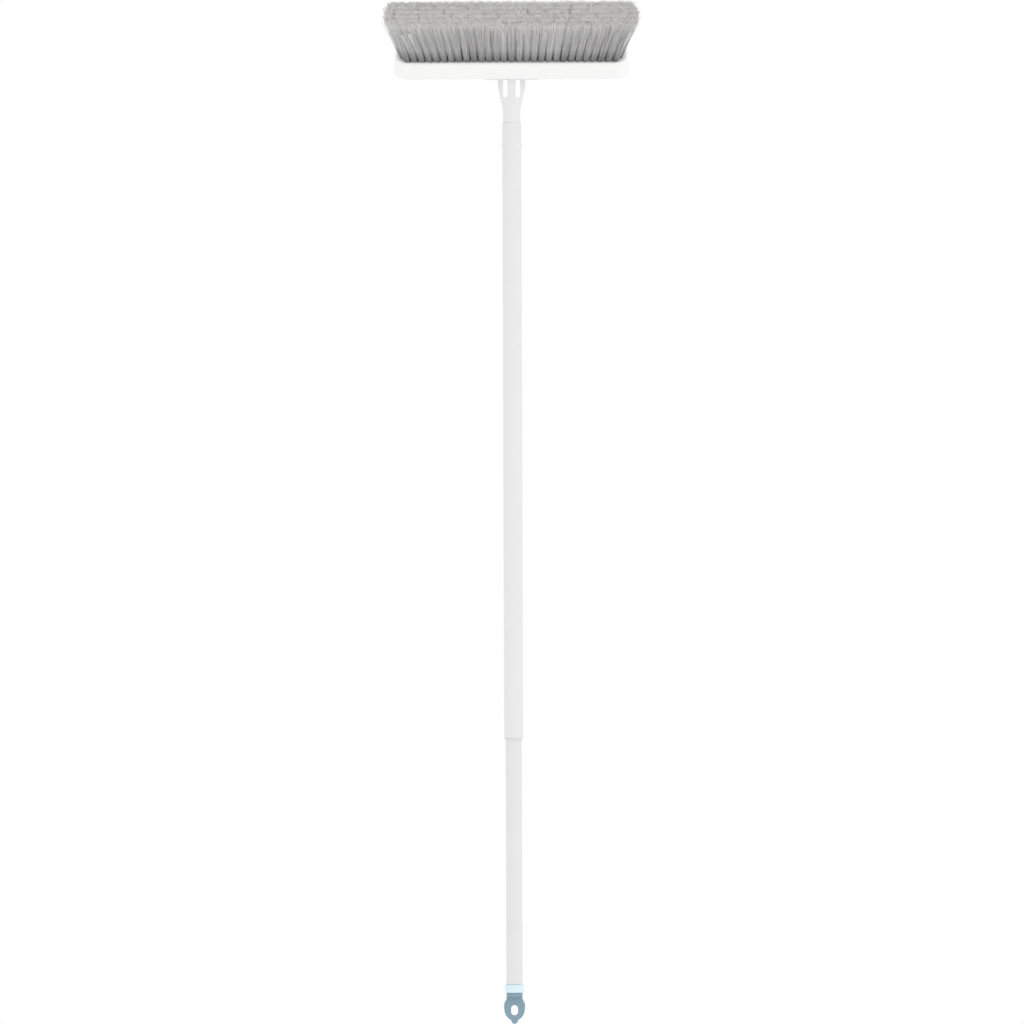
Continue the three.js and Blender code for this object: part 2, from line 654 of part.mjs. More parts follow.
place(poolBrush, "end_cap", endCap(), paleBlue);
place(poolBrush, "cap_pin", crossPin(capPinZ), steel);
place(poolBrush, "hang_loop", hangLoop(), slateBlue);
place(poolBrush, "loop_washer", washer(LOOP_SCREW_DIAMETER, LOOP_WASHER_DIAMETER, loopWasherLow), steel);
const loopScrewLength = loopScrewSeat - stemTop + LOOP_SCREW_DEPTH;
place(poolBrush, "loop_screw", panScrew(LOOP_SCREW_DIAMETER, loopScrewSeat, loopScrewLength), steel);

export default poolBrush;
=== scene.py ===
# %% [markdown]
# # A pool brush on a telescopic pole
#
# The brush arrives as a fixed frame of plain solids that are all in the right place. This lesson gives
# each one its real surface: loose nylon filaments instead of slabs, a moulded block with tuft holes,
# smooth powder-coated tubes and a rounded hang loop. Nothing that the frame places is moved. All sizes
# are in metres.

import json
import math

import bmesh
import bpy
from mathutils import Matrix, Vector

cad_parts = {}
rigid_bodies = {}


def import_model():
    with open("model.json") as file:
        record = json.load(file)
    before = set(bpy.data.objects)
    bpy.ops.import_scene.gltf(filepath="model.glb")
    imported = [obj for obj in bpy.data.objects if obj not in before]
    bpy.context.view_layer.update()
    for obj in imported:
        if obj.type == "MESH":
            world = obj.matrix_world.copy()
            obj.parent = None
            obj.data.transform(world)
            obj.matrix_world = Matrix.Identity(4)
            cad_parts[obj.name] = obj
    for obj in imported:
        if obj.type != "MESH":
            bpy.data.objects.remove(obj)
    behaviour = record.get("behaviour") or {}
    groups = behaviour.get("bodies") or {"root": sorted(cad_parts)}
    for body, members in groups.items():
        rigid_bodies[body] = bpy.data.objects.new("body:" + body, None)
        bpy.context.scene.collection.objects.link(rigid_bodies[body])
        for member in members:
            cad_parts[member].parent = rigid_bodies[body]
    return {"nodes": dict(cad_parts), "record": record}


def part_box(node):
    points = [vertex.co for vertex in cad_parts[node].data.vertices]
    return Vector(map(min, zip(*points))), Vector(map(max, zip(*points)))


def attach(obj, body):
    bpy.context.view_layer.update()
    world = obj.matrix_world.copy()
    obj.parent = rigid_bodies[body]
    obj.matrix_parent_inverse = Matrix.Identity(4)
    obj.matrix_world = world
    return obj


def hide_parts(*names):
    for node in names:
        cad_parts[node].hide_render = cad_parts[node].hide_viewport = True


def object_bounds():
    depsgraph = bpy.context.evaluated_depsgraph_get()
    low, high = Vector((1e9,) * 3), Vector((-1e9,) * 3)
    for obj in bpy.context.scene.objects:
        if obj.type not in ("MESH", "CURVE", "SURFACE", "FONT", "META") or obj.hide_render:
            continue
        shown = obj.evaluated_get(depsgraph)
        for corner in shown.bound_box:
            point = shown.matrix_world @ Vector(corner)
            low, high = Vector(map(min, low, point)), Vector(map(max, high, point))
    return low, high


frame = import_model()
cad_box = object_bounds()

# %% [markdown]
# ## Sums on sockets
#
# Node trees are easier to read as sums than as lists of links. A Wire is one output of a node, and
# adding or multiplying wires adds the Math nodes. A Bench is the tree on which they are laid: its one
# method makes a node, sets it, and then fills or links its sockets. Both kinds of tree use them, the
# geometry ones for the bristles and the shader ones for the finishes.

# %% Wires


class Wire:
    """One output socket; sums on it become Math nodes in the same tree."""

    def __init__(self, bench, socket):
        self.bench = bench
        self.socket = socket

    def sum(self, operation, *terms):
        return self.bench.node("ShaderNodeMath", {"operation": operation}, dict(enumerate(terms)))

    def __add__(self, other):
        return self.sum("ADD", self, other)

    def __radd__(self, other):
        return self.sum("ADD", other, self)

    def __sub__(self, other):
        return self.sum("SUBTRACT", self, other)

    def __rsub__(self, other):
        return self.sum("SUBTRACT", other, self)

    def __mul__(self, other):
        return self.sum("MULTIPLY", self, other)

    def __rmul__(self, other):
        return self.sum("MULTIPLY", other, self)

    def __truediv__(self, other):
        return self.sum("DIVIDE", self, other)

    def __rtruediv__(self, other):
        return self.sum("DIVIDE", other, self)

    def __pow__(self, other):
        return self.sum("POWER", self, other)

    def __rpow__(self, other):
        return self.sum("POWER", other, self)

    def floor(self):
        return self.sum("FLOOR", self)

    def sine(self):
        return self.sum("SINE", self)

    def cosine(self):
        return self.sum("COSINE", self)

    def at_most(self, other):
        return self.sum("MINIMUM", self, other)

    def at_least(self, other):
        return self.sum("MAXIMUM", self, other)


print("wires ready")

# %% The bench


class Bench:
    """A node tree and the one method that adds to it."""

    def __init__(self, tree):
        self.tree = tree

    def node(self, kind, settings=None, sockets=None, output=None):
        """One output of a new node; a list of wires goes to a socket that takes many."""
        made = self.tree.nodes.new(kind)
        for name, value in (settings or {}).items():
            setattr(made, name, value)
        for key, value in (sockets or {}).items():
            if isinstance(key, int):
                socket = made.inputs[key]
            else:
                socket = next(s for s in made.inputs if s.enabled and key in (s.name, s.identifier))
            for given in value if isinstance(value, list) else [value]:
                if isinstance(given, Wire):
                    self.tree.links.new(given.socket, socket)
                else:
                    socket.default_value = given
        outputs = [s for s in made.outputs if s.enabled and output in (None, s.name)]
        return Wire(self, outputs[0] if outputs else None)


print("bench ready")

# %% [markdown]
# ## The head's own frame
#
# The brush head is tilted on the pole, so its block and bristles are easiest to build square and then
# turn. The frame's bristle_face mount gives the direction of the bristles, and the block's own corners
# give the middle of its back. One matrix then carries every piece of the head to its place.

# %% The tilt and the place of the head
face_mount = next(m for m in frame["record"]["mounts"] if m["name"] == "bristle_face")
bristle_way = Vector(face_mount["axis"])
head_tilt = math.atan2(-bristle_way.y, bristle_way.z)
head_turn = Matrix.Rotation(head_tilt, 4, "X")


def node_points(node, into=Matrix.Identity(4)):
    """A CAD node's corners, carried into another frame."""
    return [into @ v.co for v in frame["nodes"][node].data.vertices]


turned_block = node_points("brush_block", head_turn.inverted())
across = [p.y for p in turned_block]
block_back = min(p.z for p in turned_block)
head_place = head_turn @ Vector((0, (min(across) + max(across)) / 2, block_back))
head_matrix = Matrix.Translation(head_place) @ head_turn
to_head = head_matrix.inverted()
head_sizes = {"Head Tilt": head_tilt, "Head Y": head_place.y, "Head Z": head_place.z}
print(f"head tilted {math.degrees(head_tilt):.1f} degrees, back of the block at z {head_place.z:.4f}")

# %% [markdown]
# ## From a mesh to a piece
#
# Each piece ends as a plain mesh at the origin, with smooth faces and sharp creases, and rides on one
# body of the frame. Helpers that every piece needs come first: some clean and finish a mesh, one bakes
# whatever the modifiers make, and one turns a profile into a round body.

# %% Clean a mesh and make it an object
SAME_POINT = 1e-7
MERGE_DISTANCE = 2e-6
CREASE_ANGLE = math.radians(32)


def crease(mesh, angle=CREASE_ANGLE):
    """Merges what lies together and shades a mesh smooth, but for edges sharper than an angle."""
    bm = bmesh.new()
    bm.from_mesh(mesh)
    bmesh.ops.remove_doubles(bm, verts=bm.verts, dist=MERGE_DISTANCE)
    bmesh.ops.dissolve_degenerate(bm, edges=bm.edges, dist=MERGE_DISTANCE)
    for face in bm.faces:
        face.smooth = True
    for edge in bm.edges:
        edge.smooth = edge.calc_face_angle(0) < angle
    bm.to_mesh(mesh)
    bm.free()


def mesh_object(name, bm, matrix=Matrix.Identity(4)):
    """A bmesh as an object at the origin, with its faces turned outwards."""
    bmesh.ops.remove_doubles(bm, verts=bm.verts, dist=SAME_POINT)
    bmesh.ops.transform(bm, matrix=matrix, verts=bm.verts)
    bmesh.ops.recalc_face_normals(bm, faces=bm.faces)
    mesh = bpy.data.meshes.new(name)
    bm.to_mesh(mesh)
    bm.free()
    made = bpy.data.objects.new(name, mesh)
    bpy.context.scene.collection.objects.link(made)
    return made


print(f"creases from {math.degrees(CREASE_ANGLE):.0f} degrees")

# %% Bake a mesh and finish a piece
HEAD_BODY = "brush_and_outer_pole"
POLE_BODY = "inner_pole"
LOOP_BODY = "hang_loop"


def bake(source, name):
    """What an object's modifiers make of it, as a plain mesh in a new object; the source goes."""
    graph = bpy.context.evaluated_depsgraph_get()
    mesh = bpy.data.meshes.new_from_object(source.evaluated_get(graph), depsgraph=graph)
    bpy.data.objects.remove(source)
    mesh.name = name
    made = bpy.data.objects.new(name, mesh)
    bpy.context.scene.collection.objects.link(made)
    return made


def finish_piece(piece, body, nodes, material):
    """Gives a piece its finish, its body and the nodes that it stands for."""
    piece.data.materials.clear()
    piece.data.materials.append(material)
    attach(piece, body)
    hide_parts(*nodes)
    faces = sum(len(p.vertices) - 2 for p in piece.data.polygons)
    print(f"{piece.name}: {faces} triangles for {len(nodes)} nodes")


print("long bodies:", HEAD_BODY, POLE_BODY, LOOP_BODY)

# %% Loops, walls and round bodies
ROUND_SIDES = 96


def quarter_turn(steps):
    """Even angles from nothing to a right angle."""
    return [math.pi / 2 * step / steps for step in range(steps + 1)]


def circle(x, y, radius, sides):
    turns = (2 * math.pi * i / sides for i in range(sides))
    return [(x + radius * math.cos(t), y + radius * math.sin(t)) for t in turns]


def radii(points):
    """The least and the greatest distance of some points from the pole's axis."""
    reach = [p.xy.length for p in points]
    return min(reach), max(reach)


def loop_of(bm, points, level):
    return [bm.verts.new((x, y, level)) for x, y in points]


def wall(bm, low, high):
    """Quads between two closed loops of the same length."""
    for i in range(len(low)):
        j = (i + 1) % len(low)
        bm.faces.new((low[i], low[j], high[j], high[i]))


def turned(profile, sides=ROUND_SIDES):
    """A round body about Z from a closed list of (radius, height) points."""
    bm = bmesh.new()
    rings = []
    for radius, height in profile:
        if radius == 0:
            rings.append([bm.verts.new((0, 0, height))] * sides)
        else:
            rings.append(loop_of(bm, circle(0, 0, radius, sides), height))
    for low, high in zip(rings, rings[1:] + rings[:1]):
        for i in range(sides):
            j = (i + 1) % sides
            corners = list(dict.fromkeys((low[i], low[j], high[j], high[i])))
            if len(corners) > 2:
                bm.faces.new(corners)
    return bm


print("round bodies have", ROUND_SIDES, "sides")

# %% [markdown]
# ## Moulded white plastic
#
# The block and the bracket are white injection-moulded plastic: almost white, half glossy, with the
# fine grain that a spark-eroded mould leaves. A finish could be a single colour, but real mouldings
# flow and cool unevenly, so a slow noise shifts the tone and the gloss a little and a fast one gives
# the grain. All noise reads Object coordinates, which stay put when a body moves.

# %% Nodes that finishes share


def new_finish(name):
    """A material with an empty bench, its shader still to come."""
    material = bpy.data.materials.new(name)
    material.use_nodes = True
    material.node_tree.nodes.clear()
    return material, Bench(material.node_tree)


def place_on(bench, scale=(1, 1, 1)):
    """Object coordinates, stretched where a pattern runs along an axis."""
    place = bench.node("ShaderNodeTexCoord", output="Object")
    return bench.node("ShaderNodeMapping", None, {"Vector": place, "Scale": scale})


def noise(bench, place, scale, detail=2.0):
    sockets = {"Vector": place, "Scale": scale, "Detail": detail}
    return bench.node("ShaderNodeTexNoise", None, sockets, "Fac")


def blend_colours(bench, factor, first, second):
    settings = {"data_type": "RGBA"}
    return bench.node("ShaderNodeMix", settings, {"Factor": factor, "A": first, "B": second}, "Result")


def bump(bench, height, strength, distance):
    sockets = {"Height": height, "Strength": strength, "Distance": distance}
    return bench.node("ShaderNodeBump", None, sockets, "Normal")


def shade(bench, sockets):
    """The shader of a finish and the material's output."""
    surface = bench.node("ShaderNodeBsdfPrincipled", None, sockets)
    bench.node("ShaderNodeOutputMaterial", None, {"Surface": surface})


print("finish nodes ready")

# %% Moulded plastic
FLOW_SCALE = 38.0
FLOW_DETAIL = 3.0
FLOW_DULLS = 0.08
SPECK_SCALE = 1900.0
SPECK_DETAIL = 1.0
SPECK_DULLS = 0.05
GLOSS_START = 0.06
GRAIN_STRENGTH = 0.12
GRAIN_HEIGHT = 0.00006


def moulded_plastic(name, light, dark, roughness):
    """Moulded plastic between two tones: slow flow marks, uneven gloss and a fine grain."""
    material, bench = new_finish(name)
    place = place_on(bench)
    flow = noise(bench, place, FLOW_SCALE, FLOW_DETAIL)
    speck = noise(bench, place, SPECK_SCALE, SPECK_DETAIL)
    sockets = {
        "Base Color": blend_colours(bench, flow, dark, light),
        "Roughness": roughness - GLOSS_START + flow * FLOW_DULLS + speck * SPECK_DULLS,
        "Normal": bump(bench, speck, GRAIN_STRENGTH, GRAIN_HEIGHT),
    }
    shade(bench, sockets)
    return material


white_plastic = moulded_plastic("white_plastic", (0.96, 0.96, 0.955, 1), (0.93, 0.93, 0.925, 1), 0.34)
bracket_plastic = moulded_plastic("bracket_plastic", (0.85, 0.85, 0.85, 1), (0.81, 0.81, 0.81, 1), 0.3)
dark_plastic = moulded_plastic("dark_plastic", (0.05, 0.052, 0.055, 1), (0.035, 0.037, 0.04, 1), 0.5)
print("plastics:", white_plastic.name, bracket_plastic.name, dark_plastic.name)

# %% [markdown]
# ## Powder-coated tube
#
# The tubes are thin aluminium with a white powder coat. A powder coat melts into a skin with soft
# waves about a millimetre across, like the peel of an orange, so a noise of that size drives a bump.
# The sliding tube also gets faint rubbed lines along its length, from a noise stretched along Z.

# %% Powder coat
PEEL_SCALE = 820.0
PEEL_STRENGTH = 0.16
PEEL_HEIGHT = 0.00012
CLOUD_SCALE = 14.0
CLOUD_SHARE = 0.8
CLOUD_DULLS = 0.08
RUB_SCALE = 900.0
RUB_ALONG = 0.012
RUB_START = 0.58
RUB_DULLS = 0.2
COAT_ROUGHNESS = 0.3


def powder_coat(name, light, dark, rubbed):
    """A white coat between two tones, with peel waves, slow clouds and rubbed lines."""
    material, bench = new_finish(name)
    place = place_on(bench)
    along = place_on(bench, (1.0, 1.0, RUB_ALONG))
    peel = noise(bench, place, PEEL_SCALE)
    cloud = noise(bench, place, CLOUD_SCALE)
    lines = noise(bench, along, RUB_SCALE)
    worn = (lines - RUB_START).at_least(0.0) * rubbed
    sockets = {
        "Base Color": blend_colours(bench, (cloud * CLOUD_SHARE + worn).at_most(1.0), light, dark),
        "Roughness": COAT_ROUGHNESS + cloud * CLOUD_DULLS + worn * RUB_DULLS,
        "Normal": bump(bench, peel, PEEL_STRENGTH, PEEL_HEIGHT),
    }
    shade(bench, sockets)
    return material


outer_coat = powder_coat("outer_tube_coat", (0.83, 0.83, 0.83, 1), (0.79, 0.79, 0.79, 1), 0.6)
inner_coat = powder_coat("inner_tube_coat", (0.82, 0.82, 0.82, 1), (0.76, 0.76, 0.76, 1), 1.6)
print("coats:", outer_coat.name, inner_coat.name)

# %% [markdown]
# ## Steel, and the two blues
#
# Screws, pins and the spring clip are bright steel with fine drawn lines. The end cap is a pale,
# watery blue and the loop under it a stronger slate blue, both moulded like the white parts.

# %% Steel and blue finishes
STEEL_DARK = (0.5, 0.51, 0.52, 1)
STEEL_BRIGHT = (0.62, 0.63, 0.64, 1)
STEEL_ROUGHNESS = 0.24
DRAWN_SCALE = 2600.0
DRAWN_ALONG = 0.05
DRAWN_DULLS = 0.16
DRAWN_STRENGTH = 0.1
DRAWN_HEIGHT = 0.00003


def drawn_steel(name):
    """Bright steel with the fine lines of a drawn wire or strip."""
    material, bench = new_finish(name)
    lines = noise(bench, place_on(bench, (1.0, 1.0, DRAWN_ALONG)), DRAWN_SCALE)
    sockets = {
        "Base Color": blend_colours(bench, lines, STEEL_DARK, STEEL_BRIGHT),
        "Metallic": 1.0,
        "Roughness": STEEL_ROUGHNESS + lines * DRAWN_DULLS,
        "Normal": bump(bench, lines, DRAWN_STRENGTH, DRAWN_HEIGHT),
    }
    shade(bench, sockets)
    return material


bright_steel = drawn_steel("bright_steel")
pale_blue = moulded_plastic("pale_blue_plastic", (0.74, 0.905, 0.965, 1), (0.69, 0.87, 0.94, 1), 0.3)
slate_blue = moulded_plastic("slate_blue_plastic", (0.25, 0.375, 0.45, 1), (0.21, 0.33, 0.405, 1), 0.36)
print("steel and blues:", bright_steel.name, pale_blue.name, slate_blue.name)

# %% [markdown]
# ## The tuft layout
#
# A brush block is drilled with rows of holes, and a folded bunch of filaments is stapled into each.
# The rows are staggered, so a hole sits between two of the next row. The frame holds each row as one
# slab, so its ends at the block's face and at the tips are measured here and every tuft follows them.

# %% Measure the rows and set out the tufts
ROW_COUNT = 6
TUFT_PITCH = 0.0122
TUFT_RADIUS = 0.0044
TIP_SPREAD = 0.0085
LEVEL_TOLERANCE = 1e-4
face_level = max((to_head @ p).z for p in node_points("brush_block"))


def row_at(node, level):
    """A row's half length and its two sides at one level of the head."""
    points = [p for p in node_points(node, to_head) if abs(p.z - level) < LEVEL_TOLERANCE]
    sides = [p.y for p in points]
    return max(p.x for p in points), min(sides), max(sides)


def set_out(index):
    """One row: where its slab starts and ends, and where its tufts stand on the block."""
    node = f"bristle_row_{index}"
    tip_level = max(p.z for p in node_points(node, to_head))
    half, low, high = row_at(node, face_level)
    tip_half, tip_low, tip_high = row_at(node, tip_level)
    reach = half - TUFT_RADIUS
    return {
        "node": node,
        "tip_level": tip_level,
        "reach": reach,
        "tip_reach": tip_half - TIP_SPREAD * tip_half / half,
        "middle": (low + high) / 2,
        "tip_middle": (tip_low + tip_high) / 2,
        "tip_thick": tip_high - tip_low,
        "tufts": 2 * round(reach / TUFT_PITCH) + index % 2,
    }


rows = [set_out(index) for index in range(1, ROW_COUNT + 1)]
print("tufts in each row:", [row["tufts"] for row in rows])

# %% [markdown]
# ## The brush block
#
# The block is a long drafted moulding with rounded ends, a hole for each tuft on its face and deep
# hollows between ribs on its back. It could be cut with booleans, but over a hundred round holes are
# slow to cut and leave long thin faces. Here the outline is lofted through rounded edges, holes and
# hollows are lofted from a chamfered mouth down to their floor, and the flat of the face and of the back
# is filled between the loops.

# %% Outlines, hollows and filled flats


def rounded_rectangle(half_x, half_y, corner, steps):
    """Points of a rounded rectangle, anticlockwise."""
    points = []
    for turn, (side_x, side_y) in enumerate(((1, 1), (-1, 1), (-1, -1), (1, -1))):
        for step in range(steps + 1):
            angle = (turn + step / steps) * math.pi / 2
            x = side_x * (half_x - corner) + corner * math.cos(angle)
            y = side_y * (half_y - corner) + corner * math.sin(angle)
            points.append((x, y))
    return points


def rounded_edges(height, edge, steps):
    """(level, inset) pairs up a slab whose two edges are rounded."""
    low = [(edge * (1 - math.cos(a)), edge * (1 - math.sin(a))) for a in quarter_turn(steps)]
    return low + [(height - level, inset) for level, inset in reversed(low)]


def sink(bm, outline, steps):
    """A hollow with a flat floor, its outline grown at each (growth, level) step; gives its mouth."""
    loops = [loop_of(bm, outline(growth), level) for growth, level in steps]
    for mouth, floor in zip(loops, loops[1:]):
        wall(bm, mouth, floor)
    bm.faces.new(loops[-1])
    return loops[0]


def fill_round(bm, loops):
    """Fills a flat face between its outline and its holes."""
    edges = []
    for verts in loops:
        edges += [bm.edges.get((verts[i - 1], verts[i])) for i in range(len(verts))]
    bmesh.ops.triangle_fill(bm, use_beauty=True, edges=edges)


print("block helpers ready")

# %% Loft the block
BLOCK_CORNER = 0.022
BLOCK_CORNER_STEPS = 12
BLOCK_EDGE = 0.0037
BLOCK_EDGE_STEPS = 5
BLOCK_DRAFT = 0.003

block_half_x = max(p.x for p in node_points("brush_block"))
block_half_y = (max(across) - min(across)) / 2

bm = bmesh.new()
loops = []
for level, inset in rounded_edges(face_level, BLOCK_EDGE, BLOCK_EDGE_STEPS):
    drawn = inset + BLOCK_DRAFT * (level - BLOCK_EDGE) / face_level
    half_x, half_y = block_half_x - drawn, block_half_y - drawn
    outline = rounded_rectangle(half_x, half_y, BLOCK_CORNER - inset, BLOCK_CORNER_STEPS)
    loops.append(loop_of(bm, outline, level))
for low, high in zip(loops, loops[1:]):
    wall(bm, low, high)
print(f"block {2 * block_half_x:.4f} by {2 * block_half_y:.4f} by {face_level:.4f}")

# %% Open the tuft holes in its face
HOLE_RADIUS = 0.0048
HOLE_RIM = 0.0002
HOLE_DEPTH = 0.007
HOLE_SIDES = 16

hole_steps = [(HOLE_RIM, face_level), (0, face_level - HOLE_RIM), (0, face_level - HOLE_DEPTH)]
mouths = []
for row in rows:
    for tuft in range(row["tufts"]):
        x = row["reach"] * (2 * tuft / (row["tufts"] - 1) - 1)
        y = row["middle"]
        mouths.append(sink(bm, lambda growth: circle(x, y, HOLE_RADIUS + growth, HOLE_SIDES), hole_steps))
fill_round(bm, [loops[-1]] + mouths)
print("tuft holes:", len(mouths))

# %% Sink the hollows in its back
FOOT_LENGTH = 0.102
POCKETS_PER_SIDE = 4
POCKET_DEPTH = 0.014
POCKET_RIB = 0.006
POCKET_MARGIN = 0.014
POCKET_CORNER = 0.005
POCKET_CORNER_STEPS = 6
POCKET_RIM = 0.0006
POCKET_DRAFT = 0.0008

first = FOOT_LENGTH / 2 + POCKET_RIB
pocket_pitch = (block_half_x - POCKET_MARGIN - first + POCKET_RIB) / POCKETS_PER_SIDE
pocket_half_x = (pocket_pitch - POCKET_RIB) / 2
pocket_half_y = block_half_y - POCKET_MARGIN
pocket_steps = [(POCKET_RIM, 0), (0, POCKET_RIM), (-POCKET_DRAFT, POCKET_DEPTH)]


def pocket_outline(x, growth):
    sides = (pocket_half_x + growth, pocket_half_y + growth)
    outline = rounded_rectangle(*sides, POCKET_CORNER + growth, POCKET_CORNER_STEPS)
    return [(x + px, py) for px, py in outline]


pockets = []
for side in (-1, 1):
    for i in range(POCKETS_PER_SIDE):
        x = side * (first + i * pocket_pitch + pocket_half_x)
        pockets.append(sink(bm, lambda growth: pocket_outline(x, growth), pocket_steps))
fill_round(bm, [loops[0]] + pockets)
print("pockets:", len(pockets))

block = mesh_object("brush_block_moulding", bm, head_matrix)
crease(block.data)
finish_piece(block, HEAD_BODY, ["brush_block"], white_plastic)

# %% [markdown]
# ## The bristles
#
# Pool bristles are nylon filaments about half a millimetre thick, cut level at the tips. They leave
# their hole as a tight round bunch and flare until the bunches meet. Hair strands would render well but
# would not export, so each filament here is a thin three-sided tube, thicker than a real one so that
# fewer will do. The inside of a bunch is packed so tightly that nobody can see into it, so a solid heart
# fills it: it stops light from getting lost between the filaments and costs hardly a face.

# %% The finish of a filament
# The root colour is painted shade, for the dark between the tufts at the block; the tip colours are
# painted light, lifting the tips; cool against warm is random tone.
ROOT_PAINTED_SHADE = (0.315, 0.31, 0.315, 1)
SHAFT_GREY = (0.75, 0.74, 0.745, 1)
TIP_PAINTED_LIGHT_COOL = (0.95, 0.945, 0.94, 1)
TIP_PAINTED_LIGHT_WARM = (0.945, 0.94, 0.915, 1)
CLUMP_SCALE = 34.0
STREAK_SCALE = 1500.0
STREAK_DETAIL = 1.0
STREAK_STRETCH = 24.0
STREAK_SHADE = 0.6
STREAK_STRENGTH = 0.3
STREAK_HEIGHT = 0.0002
ROOT_RISE = 2.8
ROOT_START = 0.13
TONE_SHADE = 0.25
TIP_POWER = 3.5
TIP_SHADE = 0.2
NYLON_ROUGHNESS = 0.42
TONE_DULLS = 0.16


def nylon(name):
    """Grey nylon: painted shade at the root, painted light at the tip, uneven from one filament to the
    next.
    """
    material, bench = new_finish(name)
    along = bench.node("ShaderNodeAttribute", {"attribute_name": "along"}, None, "Fac")
    tone = bench.node("ShaderNodeAttribute", {"attribute_name": "tone"}, None, "Fac")
    place = bench.node("ShaderNodeTexCoord", output="Object")
    clump = noise(bench, place, CLUMP_SCALE)
    stretch = {"Vector": place, "Rotation": (head_tilt, 0, 0), "Scale": (1, 1, STREAK_STRETCH)}
    stretched = bench.node("ShaderNodeMapping", {"vector_type": "TEXTURE"}, stretch)
    streak = noise(bench, stretched, STREAK_SCALE, STREAK_DETAIL)
    # rise lifts the colour out of the painted root shade along the strand; tone and streaks vary it at
    # random.
    rise = (along * ROOT_RISE - ROOT_START).at_most(1.0)
    pale = rise - tone * TONE_SHADE - (streak - 0.5) * STREAK_SHADE
    shaft = blend_colours(bench, pale, ROOT_PAINTED_SHADE, SHAFT_GREY)
    # The tips blend into painted light, paler than the filament's own grey.
    tip = blend_colours(bench, clump, TIP_PAINTED_LIGHT_COOL, TIP_PAINTED_LIGHT_WARM)
    sockets = {
        "Base Color": blend_colours(bench, along**TIP_POWER * (1 - tone * TIP_SHADE), shaft, tip),
        "Roughness": NYLON_ROUGHNESS + tone * TONE_DULLS,
        "Normal": bump(bench, streak, STREAK_STRENGTH, STREAK_HEIGHT),
    }
    shade(bench, sockets)
    return material


grey_nylon = nylon("grey_nylon")
print("bristle finish:", grey_nylon.name)

# %% [markdown]
# ## A tree for one row
#
# Geometry Nodes suit what repeats by the thousand. The tree of a row scatters a foot and an end for
# every filament and every heart, bends a strand between the two, and gives the strand its thickness. All
# sizes are named inputs, so one tree serves six rows. Every random draw has a name and so a seed of its
# own. Two values stay on the mesh for the finish: how far along its strand a point is, and a tone.

# %% A bench with named sizes


class SizedBench(Bench):
    """The bench of a geometry tree on the head, with its sizes as named inputs."""

    def __init__(self, tree, names):
        super().__init__(tree)
        tree.interface.new_socket("Geometry", in_out="OUTPUT", socket_type="NodeSocketGeometry")
        self.identifiers = {}
        for name in names:
            item = tree.interface.new_socket(name, in_out="INPUT", socket_type="NodeSocketFloat")
            self.identifiers[name] = item.identifier
        self.size = {name: self.node("NodeGroupInput", output=name) for name in names}

    def vector(self, x, y, z):
        return self.node("ShaderNodeCombineXYZ", None, {"X": x, "Y": y, "Z": z})

    def end(self, made, material):
        """Carries what the tree made to the head, makes copies real and gives all of it a finish."""
        carry = {
            "Geometry": made,
            "Rotation": self.vector(self.size["Head Tilt"], 0.0, 0.0),
            "Translation": self.vector(0.0, self.size["Head Y"], self.size["Head Z"]),
        }
        made = self.node("GeometryNodeTransform", None, carry)
        made = self.node("GeometryNodeRealizeInstances", None, {"Geometry": made})
        made = self.node("GeometryNodeSetMaterial", None, {"Geometry": made, "Material": material})
        self.node("NodeGroupOutput", None, {"Geometry": made})

    def grow(self, source, sizes):
        """Puts the tree on an object, sets its sizes and gives back the plain mesh that it makes."""
        growth = source.modifiers.new("growth", "NODES")
        growth.node_group = self.tree
        for name, value in sizes.items():
            growth[self.identifiers[name]] = float(value)
        return bake(source, source.name)


print("every tree on the head has", list(head_sizes))

# %% Sizes and chances of a row
ROW_SIZES = (
    "Tufts", "Filaments per Tuft", "Reach", "Tip Reach", "Middle", "Tip Middle", "Tuft Radius",
    "Tip Spread Along", "Tip Spread Across", "Heart Tip Radius", "Heart Depth", "Foot Level", "Tip Level",
    "Uneven Tips", "Tuft Lean", "Wave", "Filament Radius", "Seed", *head_sizes,
)
DRAWS = (
    "turn", "out", "loose", "stray along", "stray across", "uneven", "tone", "phase", "tuft tone",
    "heart depth", "lean along", "lean across",
)
DRAWS_PER_ROW = 20
LEAN_ACROSS = 0.4


